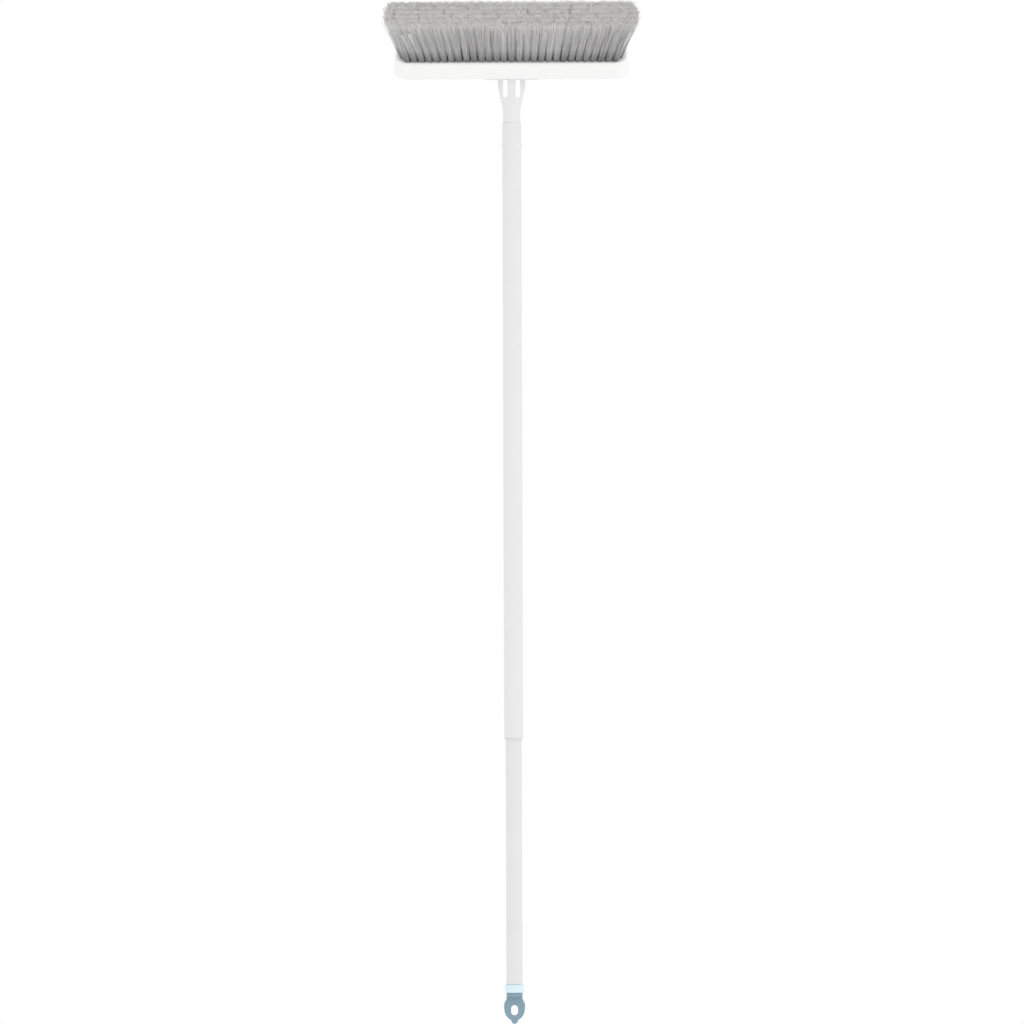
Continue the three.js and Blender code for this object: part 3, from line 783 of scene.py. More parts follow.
class RowBench(SizedBench):
    """The bench of a row's tree: its random draws, its tufts and the values that it keeps on points."""

    def chance(self, low, high, draw, each=None):
        """A random number for each point, or one for all points with the same number in each."""
        seed = self.size["Seed"] * DRAWS_PER_ROW + (DRAWS.index(draw) + 1)
        ends = {"Min": low, "Max": high, "Seed": seed}
        if each:
            ends["ID"] = each
        return self.node("FunctionNodeRandomValue", {"data_type": "FLOAT"}, ends, "Value")

    def share(self, tuft):
        """A tuft's place in its row, from -1 at one end to 1 at the other."""
        return tuft * 2 / (self.size["Tufts"] - 1) - 1

    def tuft_tip(self, tuft):
        """The middle of a tuft's tip: its share of the row, and a lean of its own."""
        lean_x = self.chance(-1.0, 1.0, "lean along", tuft) * self.size["Tuft Lean"]
        lean_y = self.chance(-LEAN_ACROSS, LEAN_ACROSS, "lean across", tuft) * self.size["Tuft Lean"]
        return self.share(tuft) * self.size["Tip Reach"] + lean_x, self.size["Tip Middle"] + lean_y

    def keep(self, geometry, name, value, kind="FLOAT"):
        settings = {"data_type": kind, "domain": "POINT"}
        links = {"Geometry": geometry, "Name": name, "Value": value}
        return self.node("GeometryNodeStoreNamedAttribute", settings, links)

    def kept(self, name, kind="FLOAT"):
        settings = {"data_type": kind}
        return self.node("GeometryNodeInputNamedAttribute", settings, {"Name": name}, "Attribute")

    def kept_place(self, name):
        """The three numbers of a kept place."""
        place = self.kept(name, "FLOAT_VECTOR")
        return [self.node("ShaderNodeSeparateXYZ", None, {"Vector": place}, axis) for axis in "XYZ"]


print("a row's tree has", len(ROW_SIZES), "sizes and", len(DRAWS), "random draws")

# %% Strands
STRAND_POINTS = 4
STRAIGHT_SHARE = 0.85
WAVE_ALONG = 4.2
WAVE_ACROSS = 3.1
WAVE_SHIFT = 1.7


def scatter(bench, count, foot, end, girth, tone):
    """Points that know where their strand starts and ends, how thick it gets and how pale it is."""
    points = bench.node("GeometryNodePoints", None, {"Count": count})
    points = bench.keep(points, "foot", foot, "FLOAT_VECTOR")
    points = bench.keep(points, "end", end, "FLOAT_VECTOR")
    points = bench.keep(points, "girth", girth)
    points = bench.keep(points, "tone", tone)
    return bench.keep(points, "phase", bench.chance(0.0, 2 * math.pi, "phase"))


def strands(bench, points):
    """One straight strand at each point, bent from its foot to its end."""
    line = bench.node("GeometryNodeCurvePrimitiveLine", None, {"Start": (0, 0, 0), "End": (0, 0, 1)})
    cut = {"Curve": line, "Count": STRAND_POINTS}
    line = bench.node("GeometryNodeResampleCurve", {"mode": "COUNT"}, cut)
    made = bench.node("GeometryNodeInstanceOnPoints", None, {"Points": points, "Instance": line})
    made = bench.node("GeometryNodeRealizeInstances", None, {"Geometry": made})
    made = bench.keep(made, "along", bench.node("GeometryNodeSplineParameter", output="Factor"))
    along, phase = bench.kept("along"), bench.kept("phase")
    foot_x, foot_y, foot_z = bench.kept_place("foot")
    end_x, end_y, end_z = bench.kept_place("end")
    lean = along * STRAIGHT_SHARE + along * along * (1 - STRAIGHT_SHARE)
    sway = along * bench.size["Wave"]
    bent = bench.vector(
        foot_x + (end_x - foot_x) * lean + (along * WAVE_ALONG + phase).sine() * sway,
        foot_y + (end_y - foot_y) * lean + (along * WAVE_ACROSS + phase * WAVE_SHIFT).cosine() * sway,
        foot_z + (end_z - foot_z) * along,
    )
    return bench.node("GeometryNodeSetPosition", None, {"Geometry": made, "Position": bent})


def tubes(bench, made, ring, radius):
    links = {"Curve": made, "Profile Curve": ring, "Scale": radius, "Fill Caps": True}
    return bench.node("GeometryNodeCurveToMesh", None, links)


print("a strand has", STRAND_POINTS, "points")

# %% Filaments
FILAMENT_SIDES = 3
ROOT_THICKNESS = 0.7
LOOSE_LEAST = 0.72
LOOSE_MORE = 0.75
LOOSE_POWER = 3.0
STRAY_ALONG = 0.4
STRAY_ACROSS = 0.2
UNEVEN_POWER = 2.0
FILAMENT_TONE = 0.5
TUFT_TONE = 0.7


def filaments(bench):
    """Every filament of a row, from its place in the tuft's hole to its place in the tip field."""
    size = bench.size
    tuft = (bench.node("GeometryNodeInputIndex") / size["Filaments per Tuft"]).floor()
    turn = bench.chance(0.0, 2 * math.pi, "turn")
    out = bench.chance(0.0, 1.0, "out") ** 0.5
    shell = size["Tuft Radius"] * out**0.5
    foot = bench.vector(
        bench.share(tuft) * size["Reach"] + turn.cosine() * shell,
        size["Middle"] + turn.sine() * shell,
        size["Foot Level"],
    )
    loose = LOOSE_LEAST + bench.chance(0.0, 1.0, "loose") ** LOOSE_POWER * LOOSE_MORE
    side_x = turn.cosine() * out * loose + bench.chance(-STRAY_ALONG, STRAY_ALONG, "stray along")
    side_y = turn.sine() * out * loose + bench.chance(-STRAY_ACROSS, STRAY_ACROSS, "stray across")
    tip_x, tip_y = bench.tuft_tip(tuft)
    end = bench.vector(
        tip_x + side_x * size["Tip Spread Along"],
        tip_y + side_y * size["Tip Spread Across"],
        size["Tip Level"] - bench.chance(0.0, 1.0, "uneven") ** UNEVEN_POWER * size["Uneven Tips"],
    )
    tone = bench.chance(0.0, FILAMENT_TONE, "tone") + bench.chance(0.0, TUFT_TONE, "tuft tone", tuft)
    count = size["Tufts"] * size["Filaments per Tuft"]
    points = scatter(bench, count, foot, end, size["Filament Radius"], tone)
    thick = bench.kept("girth") * (ROOT_THICKNESS + bench.kept("along") * (1 - ROOT_THICKNESS))
    circle_sizes = {"Resolution": FILAMENT_SIDES, "Radius": 1.0}
    ring = bench.node("GeometryNodeCurvePrimitiveCircle", None, circle_sizes, "Curve")
    return tubes(bench, strands(bench, points), ring, thick)


print(f"a filament has {2 * FILAMENT_SIDES * (STRAND_POINTS - 1) + 2} triangles")

# %% Hearts
HEART_RIBS = 12
HEART_GROOVE = 0.86
HEART_FOOT_SHARE = 0.74
HEART_TIP_RADIUS = 0.0038
# A share of along that makes the hearts darker: painted shade for the inside of the pack.
HEART_PAINTED_SHADE = 0.88
HEART_TONE = 0.4
HEART_DEPTH_SHARES = (0.8, 1.4)
ROW_END_POWER = 8.0


def hearts(bench):
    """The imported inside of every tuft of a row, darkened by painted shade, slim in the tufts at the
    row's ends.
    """
    size = bench.size
    tuft = bench.node("GeometryNodeInputIndex")
    place = bench.share(tuft)
    foot = bench.vector(place * size["Reach"], size["Middle"], size["Foot Level"])
    depth = size["Heart Depth"] * bench.chance(*HEART_DEPTH_SHARES, "heart depth")
    end = bench.vector(*bench.tuft_tip(tuft), size["Tip Level"] - depth)
    outermost = (place * place) ** ROW_END_POWER
    girth = size["Heart Tip Radius"] + (HEART_TIP_RADIUS - size["Heart Tip Radius"]) * outermost
    tone = HEART_TONE + bench.chance(0.0, TUFT_TONE, "tuft tone", tuft)
    points = scatter(bench, size["Tufts"], foot, end, girth, tone)
    thin = size["Tuft Radius"] * HEART_FOOT_SHARE
    thick = thin + (bench.kept("girth") - thin) * bench.kept("along")
    star = {"Points": HEART_RIBS, "Inner Radius": HEART_GROOVE, "Outer Radius": 1.0}
    ring = bench.node("GeometryNodeCurveStar", None, star, "Curve")
    solid = tubes(bench, strands(bench, points), ring, thick)
    # Scaling along down paints the hearts darker: painted shade for the inside of the pack.
    return bench.keep(solid, "along", bench.kept("along") * HEART_PAINTED_SHADE)


print("a heart has", HEART_RIBS, "ribs")

# %% The tree


def bristle_bench(material):
    """The bench with the finished tree of a row."""
    bench = RowBench(bpy.data.node_groups.new("bristle_row", "GeometryNodeTree"), ROW_SIZES)
    parts = [hearts(bench), filaments(bench)]
    mesh = bench.node("GeometryNodeJoinGeometry", None, {"Geometry": parts})
    mesh = bench.node("GeometryNodeSetShadeSmooth", None, {"Geometry": mesh})
    bench.end(mesh, material)
    return bench


row_bench = bristle_bench(grey_nylon)
print("bristle tree:", len(row_bench.tree.nodes), "nodes")

# %% [markdown]
# ## Six rows
#
# The same tree now grows each row from the sizes that were measured. Every tuft leans a little its own
# way, as bristles that have been used do. The hearts inside the pack are wide enough to meet, so no dark
# gaps open between the tips. Those of the two outer rows stay slim, so that there the filaments show.

# %% Grow the six rows
FILAMENTS_PER_TUFT = 270
FILAMENT_RADIUS = 0.00043
FOOT_DEPTH = 0.005
TIP_SPREAD_ACROSS = 0.6
UNEVEN_TIPS = 0.0022
TUFT_LEAN = 0.0022
WAVE = 0.0009
INNER_HEART_RADIUS = 0.0078
HEART_DEPTH = 0.013
SPENT_ATTRIBUTES = ("foot", "end", "girth", "phase")


def grow_row(index, row):
    """One row of bristles as a plain mesh."""
    name = f"bristles_{index}"
    source = bpy.data.objects.new(name, bpy.data.meshes.new(name))
    bpy.context.scene.collection.objects.link(source)
    outer = index in (1, ROW_COUNT)
    sizes = {
        "Tufts": row["tufts"],
        "Filaments per Tuft": FILAMENTS_PER_TUFT,
        "Reach": row["reach"],
        "Tip Reach": row["tip_reach"],
        "Middle": row["middle"],
        "Tip Middle": row["tip_middle"],
        "Tuft Radius": TUFT_RADIUS,
        "Tip Spread Along": TIP_SPREAD,
        "Tip Spread Across": row["tip_thick"] * TIP_SPREAD_ACROSS,
        "Heart Tip Radius": HEART_TIP_RADIUS if outer else INNER_HEART_RADIUS,
        "Heart Depth": HEART_DEPTH,
        "Foot Level": face_level - FOOT_DEPTH,
        "Tip Level": row["tip_level"],
        "Uneven Tips": UNEVEN_TIPS,
        "Tuft Lean": TUFT_LEAN,
        "Wave": WAVE,
        "Filament Radius": FILAMENT_RADIUS,
        "Seed": index,
        **head_sizes,
    }
    grown = row_bench.grow(source, sizes)
    for spent in SPENT_ATTRIBUTES:
        grown.data.attributes.remove(grown.data.attributes[spent])
    return grown


for index, row in enumerate(rows, start=1):
    bristles = grow_row(index, row)
    finish_piece(bristles, HEAD_BODY, [row["node"]], grey_nylon)

# %% [markdown]
# ## The handle bracket
#
# The bracket is one moulding: a shank that goes into the pole, a long cone, a boss that two slots split
# into three ribs, and a foot screwed to the block. The shank, the cone and the boss follow a rule all
# the way round, so they are one grid of rings and columns whose radius is worked out at each point. The
# columns end on the tilted foot, and a small fillet widens them there, as a mould maker would.

# %% The rule of the bracket's body
NECK_SHOWN = 0.018
CONE_HEIGHT = 0.044
CONE_STRAIGHT = 0.5
BOSS_RADIUS = 0.023
FOOT_DEPTH_ACROSS = 0.058
FOOT_THICKNESS = 0.006
FIT_GAP = 0.0003
FILLET = 0.003

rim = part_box("outer_tube")[1][2]
neck_top = rim + NECK_SHOWN
foot_back = -FIT_GAP - FOOT_THICKNESS
_, shank_radius = radii(p for p in node_points("handle_bracket") if p.z < rim)


def ease(value):
    return value * value * (3 - 2 * value)


def body_radius(z):
    """The radius of the cone and the boss at one height."""
    rise = min(max((z - neck_top) / CONE_HEIGHT, 0.0), 1.0)
    share = CONE_STRAIGHT * rise + (1 - CONE_STRAIGHT) * ease(rise)
    return shank_radius + (BOSS_RADIUS - shank_radius) * share


def boss_top(turn):
    """The height where a column of the boss goes into the foot."""
    y = BOSS_RADIUS * math.sin(turn)
    return head_place.z + (math.sin(head_tilt) * y + foot_back) / math.cos(head_tilt)


def fillet_at(turn):
    """The fillet under the foot, smaller where the boss comes near the foot's edge."""
    corner = to_head @ Vector((0, BOSS_RADIUS * math.sin(turn), boss_top(turn)))
    return min(FILLET, max(FOOT_DEPTH_ACROSS / 2 - abs(corner.y), 0.0))


def body_point(turn, share):
    """A point of a column, some share of the way from the neck to the foot."""
    z = neck_top + (boss_top(turn) - neck_top) * share
    fillet = fillet_at(turn)
    under = (boss_top(turn) - z) * math.cos(head_tilt)
    near = fillet - min(under, fillet)
    radius = body_radius(z) + fillet - math.sqrt(fillet**2 - near**2)
    return radius * math.cos(turn), radius * math.sin(turn), z


print(f"shank radius {shank_radius:.5f}, cone from z {neck_top:.3f}")

# %% Lay the rings of the body
SHANK_WALL = 0.0026
SHANK_LIP = 0.0006
COLUMNS = 160
BODY_ROWS = 36

shank_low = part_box("handle_bracket")[0][2]
bore = shank_radius - SHANK_WALL
bore_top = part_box("clip_bend")[1][2] + FIT_GAP
shank_profile = [
    (bore, bore_top), (bore, shank_low + SHANK_LIP), (bore + SHANK_LIP, shank_low),
    (shank_radius - SHANK_LIP, shank_low), (shank_radius, shank_low + SHANK_LIP), (shank_radius, rim),
]

bm = bmesh.new()
turns = [2 * math.pi * i / COLUMNS for i in range(COLUMNS)]
rings = [loop_of(bm, circle(0, 0, radius, COLUMNS), z) for radius, z in shank_profile]
for step in range(BODY_ROWS + 1):
    rings.append([bm.verts.new(body_point(turn, step / BODY_ROWS)) for turn in turns])
into_foot = bristle_way * FOOT_THICKNESS
rings.append([bm.verts.new(v.co + into_foot) for v in rings[-1]])
for low, high in zip(rings, rings[1:]):
    wall(bm, low, high)
bm.faces.new(rings[0])
bm.faces.new(rings[-1])
bracket = mesh_object("handle_bracket_moulding", bm)
print("bracket body:", len(rings), "rings of", COLUMNS, "points")

# %% [markdown]
# ## Slots between the ribs
#
# Two slots run right through the boss from front to back, so light shows between its ribs. A plain
# cutter would leave sharp edges, and a bevel on a curved surface is hard to keep even. So the cutter
# itself is shaped: near both mouths it widens in a quarter round, measured from the boss's own surface,
# and the cut comes out with a soft edge.

# %% The slot's mouth and its section
RIB_SLOT_HALF = 0.00375
RIB_SLOT_FLOOR = 0.0054
RIB_SLOT_ROUND = 0.0014
ROUND_ANGLES = (0, 20, 40, 55, 70)
ROUND_PAST = 0.3
ARC_STEPS = 14
SIDE_STEPS = 16


def mouth_steps():
    """(depth, widening) pairs from a slot's straight part out past the boss's surface."""
    turns = [math.radians(angle) for angle in ROUND_ANGLES]
    steps = [(RIB_SLOT_ROUND * (1 - math.sin(a)), RIB_SLOT_ROUND * (1 - math.cos(a))) for a in turns]
    depth, widening = steps[-1]
    past = RIB_SLOT_ROUND * ROUND_PAST
    wide = widening + (depth + past) * math.tan(turns[-1])
    return steps + [(-past, wide), (-past - 2 * FILLET, wide)]


def slot_section():
    """The slot seen from the front: the way out and the middle's height of each point round it."""
    low = bore_top + RIB_SLOT_FLOOR + RIB_SLOT_HALF
    high = boss_top(math.pi / 2) + 2 * FOOT_THICKNESS
    heights = [low + (high - low) * step / SIDE_STEPS for step in range(1, SIDE_STEPS + 1)]
    floor = [math.pi * step / ARC_STEPS for step in range(ARC_STEPS + 1)]
    section = [(1.0, 0.0, z) for z in reversed(heights)]
    section += [(math.cos(a), -math.sin(a), low) for a in floor]
    return section + [(-1.0, 0.0, z) for z in heights]


print("slot section:", len(slot_section()), "points,", len(mouth_steps()), "steps at each mouth")

# %% The slot's cutter


def slot_loop(bm, middle, side, depth, widening):
    """One loop of the cutter, at a depth under the front (-1) or the back (1) of the boss."""
    loop = []
    for out_x, out_z, height in slot_section():
        x = middle + out_x * (RIB_SLOT_HALF + widening)
        z = height + out_z * (RIB_SLOT_HALF + widening)
        surface = math.sqrt(body_radius(z) ** 2 - x**2)
        loop.append(bm.verts.new((x, side * (surface - depth), z)))
    return loop


def slot_cutter(middle):
    """The solid that a slot takes away, from the front to the back of the boss."""
    bm = bmesh.new()
    steps = mouth_steps()
    loops = [slot_loop(bm, middle, -1, *step) for step in reversed(steps)]
    loops += [slot_loop(bm, middle, 1, *step) for step in steps]
    for low, high in zip(loops, loops[1:]):
        wall(bm, low, high)
    bm.faces.new(loops[0])
    bm.faces.new(loops[-1])
    return mesh_object("slot_cutter", bm)


print(f"slots {2 * RIB_SLOT_HALF:.4f} wide, rounded by {RIB_SLOT_ROUND:.4f}")

# %% Cut the slots
RIB_SLOT_SPREAD = 0.0103


def cut_out(target, cutter, name):
    """The target without what the cutter covers; the cutter goes."""
    cut = target.modifiers.new("cut", "BOOLEAN")
    cut.operation = "DIFFERENCE"
    cut.solver = "EXACT"
    cut.object = cutter
    done = bake(target, name)
    bpy.data.objects.remove(cutter)
    return done


for side in (-1, 1):
    bracket = cut_out(bracket, slot_cutter(side * RIB_SLOT_SPREAD), "handle_bracket_moulding")
print("bracket after the slots:", len(bracket.data.polygons), "faces")

# %% [markdown]
# ## Holes for the spring buttons
#
# The buttons of the spring clip come out through the shank and the outer tube. Two round holes are few
# enough for a boolean, cut with one bar that runs through both walls. The holes are measured from the
# button, with the same play round it as in the frame.

# %% Cut the button holes
BUTTON_PLAY = 0.0009
CUTTER_REACH = 0.03
CUTTER_SIDES = 32

button_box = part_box("right_clip_button")
button_z = (button_box[0][2] + button_box[1][2]) / 2
button_radius = (button_box[1][2] - button_box[0][2]) / 2


def cut_across(target, radius, z, name):
    """Cuts a round hole along X right through a piece at one height."""
    ends = [(0, -CUTTER_REACH), (radius, -CUTTER_REACH), (radius, CUTTER_REACH), (0, CUTTER_REACH)]
    lay_along_x = Matrix.Translation((0, 0, z)) @ Matrix.Rotation(math.pi / 2, 4, "Y")
    cutter = mesh_object("cutter", turned(ends, CUTTER_SIDES), lay_along_x)
    return cut_out(target, cutter, name)


bracket = cut_across(bracket, button_radius + BUTTON_PLAY, button_z, "handle_bracket_moulding")
print(f"button holes at z {button_z:.4f}")

# %% [markdown]
# ## The bracket's foot
#
# The foot is a rounded plate that lies on the block's back, lofted like the block. It runs into the boss,
# and it is added after all cuts: a boolean that meets shells inside each other leaves ragged edges where
# they cross.

# %% Add the foot
FOOT_CORNER = 0.012
FOOT_CORNER_STEPS = 10
FOOT_EDGE = 0.0015
FOOT_EDGE_STEPS = 4

bm = bmesh.new()
bm.from_mesh(bracket.data)
bpy.data.objects.remove(bracket)
foot_loops = []
for level, inset in rounded_edges(FOOT_THICKNESS, FOOT_EDGE, FOOT_EDGE_STEPS):
    half_x, half_y = FOOT_LENGTH / 2 - inset, FOOT_DEPTH_ACROSS / 2 - inset
    outline = rounded_rectangle(half_x, half_y, FOOT_CORNER - inset, FOOT_CORNER_STEPS)
    foot_loops.append(loop_of(bm, outline, foot_back + level))
for low, high in zip(foot_loops, foot_loops[1:]):
    wall(bm, low, high)
bm.faces.new(foot_loops[0])
bm.faces.new(foot_loops[-1])
bmesh.ops.transform(bm, matrix=head_matrix, verts=[v for loop in foot_loops for v in loop])
bracket = mesh_object("handle_bracket_moulding", bm)
crease(bracket.data)
finish_piece(bracket, HEAD_BODY, ["handle_bracket"], bracket_plastic)

# %% [markdown]
# ## Bracket screws
#
# Four equal pan-head screws hold the foot. One is turned and gets a cross slot, and Geometry Nodes put
# a copy on each of four points, because what repeats is made once. Each copy stands at an angle of its
# own, as screws end up when they are driven by hand.

# %% Turn one screw
SCREW_RADIUS = 0.0021
SCREW_SIDES = 28
SCREW_BITE = 0.013
SCREW_POINT = 0.002
SCREW_HEAD_RADIUS = 0.0045
SCREW_HEAD_HEIGHT = 0.0032
SCREW_HEAD_RIM = 0.0008
DOME_STEPS = 7

seat = foot_back - FIT_GAP
head_end = seat - SCREW_HEAD_HEIGHT
dome_height = SCREW_HEAD_HEIGHT - SCREW_HEAD_RIM
dome = [
    (SCREW_HEAD_RADIUS * math.sin(a), seat - SCREW_HEAD_RIM - dome_height * math.cos(a))
    for a in quarter_turn(DOME_STEPS)
]
shank = [
    (SCREW_HEAD_RADIUS, seat), (SCREW_RADIUS, seat),
    (SCREW_RADIUS, SCREW_BITE - SCREW_POINT), (0, SCREW_BITE),
]
screw = mesh_object("one_screw", turned(dome + shank, SCREW_SIDES))
print("screw profile:", len(dome + shank), "points")

# %% Cut its cross slot
SLOT_HALF_WIDTH = 0.00055
SLOT_REACH = 0.0026
SLOT_DEPTH = 0.0018
SLOT_TAPER = 0.55
SLOT_PAST = 0.001

arm = [(SLOT_REACH, -SLOT_HALF_WIDTH), (SLOT_REACH, SLOT_HALF_WIDTH), (SLOT_HALF_WIDTH, SLOT_HALF_WIDTH)]
cross = []
for _ in range(4):
    cross += arm
    arm = [(-y, x) for x, y in arm]

bm = bmesh.new()
open_loop = loop_of(bm, cross, head_end - SLOT_PAST)
floor_loop = loop_of(bm, [(x * SLOT_TAPER, y * SLOT_TAPER) for x, y in cross], head_end + SLOT_DEPTH)
wall(bm, open_loop, floor_loop)
bm.faces.new(open_loop)
bm.faces.new(floor_loop)
screw = cut_out(screw, mesh_object("cross_cutter", bm), "one_screw")
crease(screw.data)
print("one screw:", len(screw.data.polygons), "faces")

# %% A tree that copies the screw
SCREW_SEED = 4


def screw_bench(screw_object, material):
    """Copies of one screw on the points of a mesh, each turned by chance, then carried to the head."""
    tree = bpy.data.node_groups.new("bracket_screws", "GeometryNodeTree")
    tree.interface.new_socket("Geometry", in_out="INPUT", socket_type="NodeSocketGeometry")
    bench = SizedBench(tree, head_sizes)
    points = bench.node("NodeGroupInput", output="Geometry")
    shape = bench.node("GeometryNodeObjectInfo", None, {"Object": screw_object}, "Geometry")
    ends = {"Min": 0.0, "Max": math.pi, "Seed": SCREW_SEED}
    turn = bench.node("FunctionNodeRandomValue", {"data_type": "FLOAT"}, ends, "Value")
    copies = {"Points": points, "Instance": shape, "Rotation": bench.vector(0.0, 0.0, turn)}
    bench.end(bench.node("GeometryNodeInstanceOnPoints", None, copies), material)
    return bench


copying = screw_bench(screw, bright_steel)
print("screw tree:", len(copying.tree.nodes), "nodes")

# %% Put the screws on the foot
SCREW_COUNT = 4

screw_nodes = [f"bracket_screw_{i}" for i in range(1, SCREW_COUNT + 1)]
bm = bmesh.new()
for node in screw_nodes:
    points = node_points(node, to_head)
    middle = sum(points, Vector()) / len(points)
    bm.verts.new((middle.x, middle.y, 0))
screws = copying.grow(mesh_object("bracket_screws", bm), head_sizes)
bpy.data.objects.remove(screw)
finish_piece(screws, HEAD_BODY, screw_nodes, bright_steel)

# %% [markdown]
# ## The tubes and their bush
#
# Each tube is a turned ring with its ends just broken, as a deburred saw cut leaves them. Extra rings
# stand close above and below each cross hole: without them a boolean would stretch one face along the
# whole tube and the shading would smear. The frame's tubes give the radii and the lengths.

# %% A tube's profile and its pins
TUBE_LIP = 0.0003
HOLE_MARGIN = 0.008


def tube_profile(node, hole_heights):
    """A tube's wall as a closed profile, with rings beside each hole."""
    bore, radius = radii(node_points(node))
    low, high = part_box(node)[0][2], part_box(node)[1][2]
    beside = sorted(z + side * HOLE_MARGIN for z in hole_heights for side in (-1, 1))
    up = [(radius - TUBE_LIP, low), (radius, low + TUBE_LIP)]
    up += [(radius, z) for z in beside]
    up += [(radius, high - TUBE_LIP), (radius - TUBE_LIP, high)]
    down = [(bore + TUBE_LIP, high), (bore, high - TUBE_LIP)]
    down += [(bore, z) for z in reversed(beside)]
    down += [(bore, low + TUBE_LIP), (bore + TUBE_LIP, low)]
    return up + down


def pin_hole(node):
    """The height of a cross pin and the radius of its hole."""
    low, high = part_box(node)
    return (low[2] + high[2]) / 2, (high[2] - low[2]) / 2 + FIT_GAP


pins = [pin_hole("cap_pin"), pin_hole("lock_pin")]
print("pin holes at z", [round(z, 4) for z, _ in pins])

# %% Turn the tubes
outer = mesh_object("outer_tube_coated", turned(tube_profile("outer_tube", [button_z])))
outer = cut_across(outer, button_radius + BUTTON_PLAY, button_z, "outer_tube_coated")
crease(outer.data)
finish_piece(outer, HEAD_BODY, ["outer_tube"], outer_coat)

inner = mesh_object("inner_tube_coated", turned(tube_profile("inner_tube", [z for z, _ in pins])))
for z, radius in pins:
    inner = cut_across(inner, radius, z, "inner_tube_coated")
crease(inner.data)
finish_piece(inner, POLE_BODY, ["inner_tube"], inner_coat)

# %% Turn the bush in the mouth
BUSH_LIP = 0.0005

inner_bore, inner_radius = radii(node_points("inner_tube"))
outer_bore, outer_radius = radii(node_points("outer_tube"))
bush_low, bush_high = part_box("mouth_bush")[0][2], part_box("mouth_bush")[1][2]
bush_bore = inner_radius + FIT_GAP
bush_sleeve = outer_bore - FIT_GAP
bush_profile = [
    (bush_bore + BUSH_LIP, bush_low), (outer_radius - BUSH_LIP, bush_low),
    (outer_radius, bush_low + BUSH_LIP), (outer_radius, -FIT_GAP - BUSH_LIP / 2),
    (outer_radius - BUSH_LIP / 2, -FIT_GAP), (bush_sleeve, -FIT_GAP),
    (bush_sleeve, bush_high), (bush_bore, bush_high), (bush_bore, bush_low + BUSH_LIP),
]
bush = mesh_object("mouth_bush_moulding", turned(bush_profile))
crease(bush.data)
finish_piece(bush, HEAD_BODY, ["mouth_bush"], bracket_plastic)

# %% [markdown]
# ## Spring buttons
#
# Each button is a small turned knob with a domed end that just stands out of the tube. The frame gives
# its length along X, so the same profile serves both sides, turned to face left or right.

# %% Turn the buttons
RIVET_RADIUS = 0.0018
PAST_RIVET = 1.5 * RIVET_RADIUS
BUTTON_SIDES = 32
BUTTON_DOME = 0.0012
BUTTON_DOME_STEPS = 6
BUTTON_FULLNESS = 0.7


def button_profile(node):
    """A button's profile from its rivet to its domed end."""
    points = node_points(node)
    rivet, tip = min(abs(p.x) for p in points), max(abs(p.x) for p in points)
    off_rivet = [p for p in points if Vector((p.y, p.z - button_z)).length > PAST_RIVET]
    base = min(abs(p.x) for p in off_rivet)
    dome = [
        (button_radius * math.cos(a) ** BUTTON_FULLNESS, tip - BUTTON_DOME + BUTTON_DOME * math.sin(a))
        for a in quarter_turn(BUTTON_DOME_STEPS)[:-1]
    ]
    foot = [(0, rivet), (RIVET_RADIUS, rivet), (RIVET_RADIUS, base), (button_radius, base)]
    return foot + dome + [(0, tip)]


for side, way in (("right", 1), ("left", -1)):
    node = f"{side}_clip_button"
    matrix = Matrix.Translation((0, 0, button_z)) @ Matrix.Rotation(way * math.pi / 2, 4, "Y")
    button = mesh_object(f"{side}_button_knob", turned(button_profile(node), BUTTON_SIDES), matrix)
    crease(button.data)
    finish_piece(button, f"{side}_clip", [node], white_plastic)

# %% [markdown]
# ## End cap
#
# The cap is a pale blue plug with a collar that closes the pole. Its lower edge is well rounded and a
# shallow groove runs round under its upper edge, where the moulding meets the tube. It is turned from
# a profile like the tubes.

# %% Turn the end cap
COLLAR_ROUND = 0.003
COLLAR_STEPS = 8
COLLAR_LIP = 0.0008
GROOVE_DROP = 0.0021
GROOVE_WIDTH = 0.0015
GROOVE_DEPTH = 0.0005
CAP_HOLLOW = 0.0075
CAP_FLOOR = 0.006
STEM_HOLE = 0.0043

collar_low, plug_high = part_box("end_cap")[0][2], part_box("end_cap")[1][2]
collar_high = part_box("inner_tube")[0][2] - FIT_GAP
_, collar_radius = radii(node_points("end_cap"))
plug_radius = inner_bore - FIT_GAP
groove_high = collar_high - GROOVE_DROP
groove_low = groove_high - GROOVE_WIDTH

cap_profile = [(STEM_HOLE, collar_low)]
for a in quarter_turn(COLLAR_STEPS):
    radius = collar_radius - COLLAR_ROUND * (1 - math.sin(a))
    cap_profile.append((radius, collar_low + COLLAR_ROUND * (1 - math.cos(a))))
cap_profile += [
    (collar_radius, groove_low), (collar_radius - GROOVE_DEPTH, groove_low + GROOVE_DEPTH),
    (collar_radius - GROOVE_DEPTH, groove_high - GROOVE_DEPTH), (collar_radius, groove_high),
    (collar_radius, collar_high - COLLAR_LIP), (collar_radius - COLLAR_LIP, collar_high),
    (plug_radius, collar_high), (plug_radius, plug_high), (CAP_HOLLOW, plug_high),
    (CAP_HOLLOW, collar_low + CAP_FLOOR), (STEM_HOLE, collar_low + CAP_FLOOR),
]
cap = mesh_object("end_cap_moulding", turned(cap_profile))
z, radius = pins[0]
cap = cut_across(cap, radius, z, "end_cap_moulding")
crease(cap.data)
finish_piece(cap, POLE_BODY, ["end_cap"], pale_blue)

# %% [markdown]
# ## Hang loop
#
# The loop is a soft drop shape with no hard edge anywhere. The frame's solid has the right outline but
# flat sides, so a copy of it is merged, remeshed in small cubes and smoothed, which rounds every edge
# and blends the round shoulder into the flat eye. The frame's own solid stays as it is.

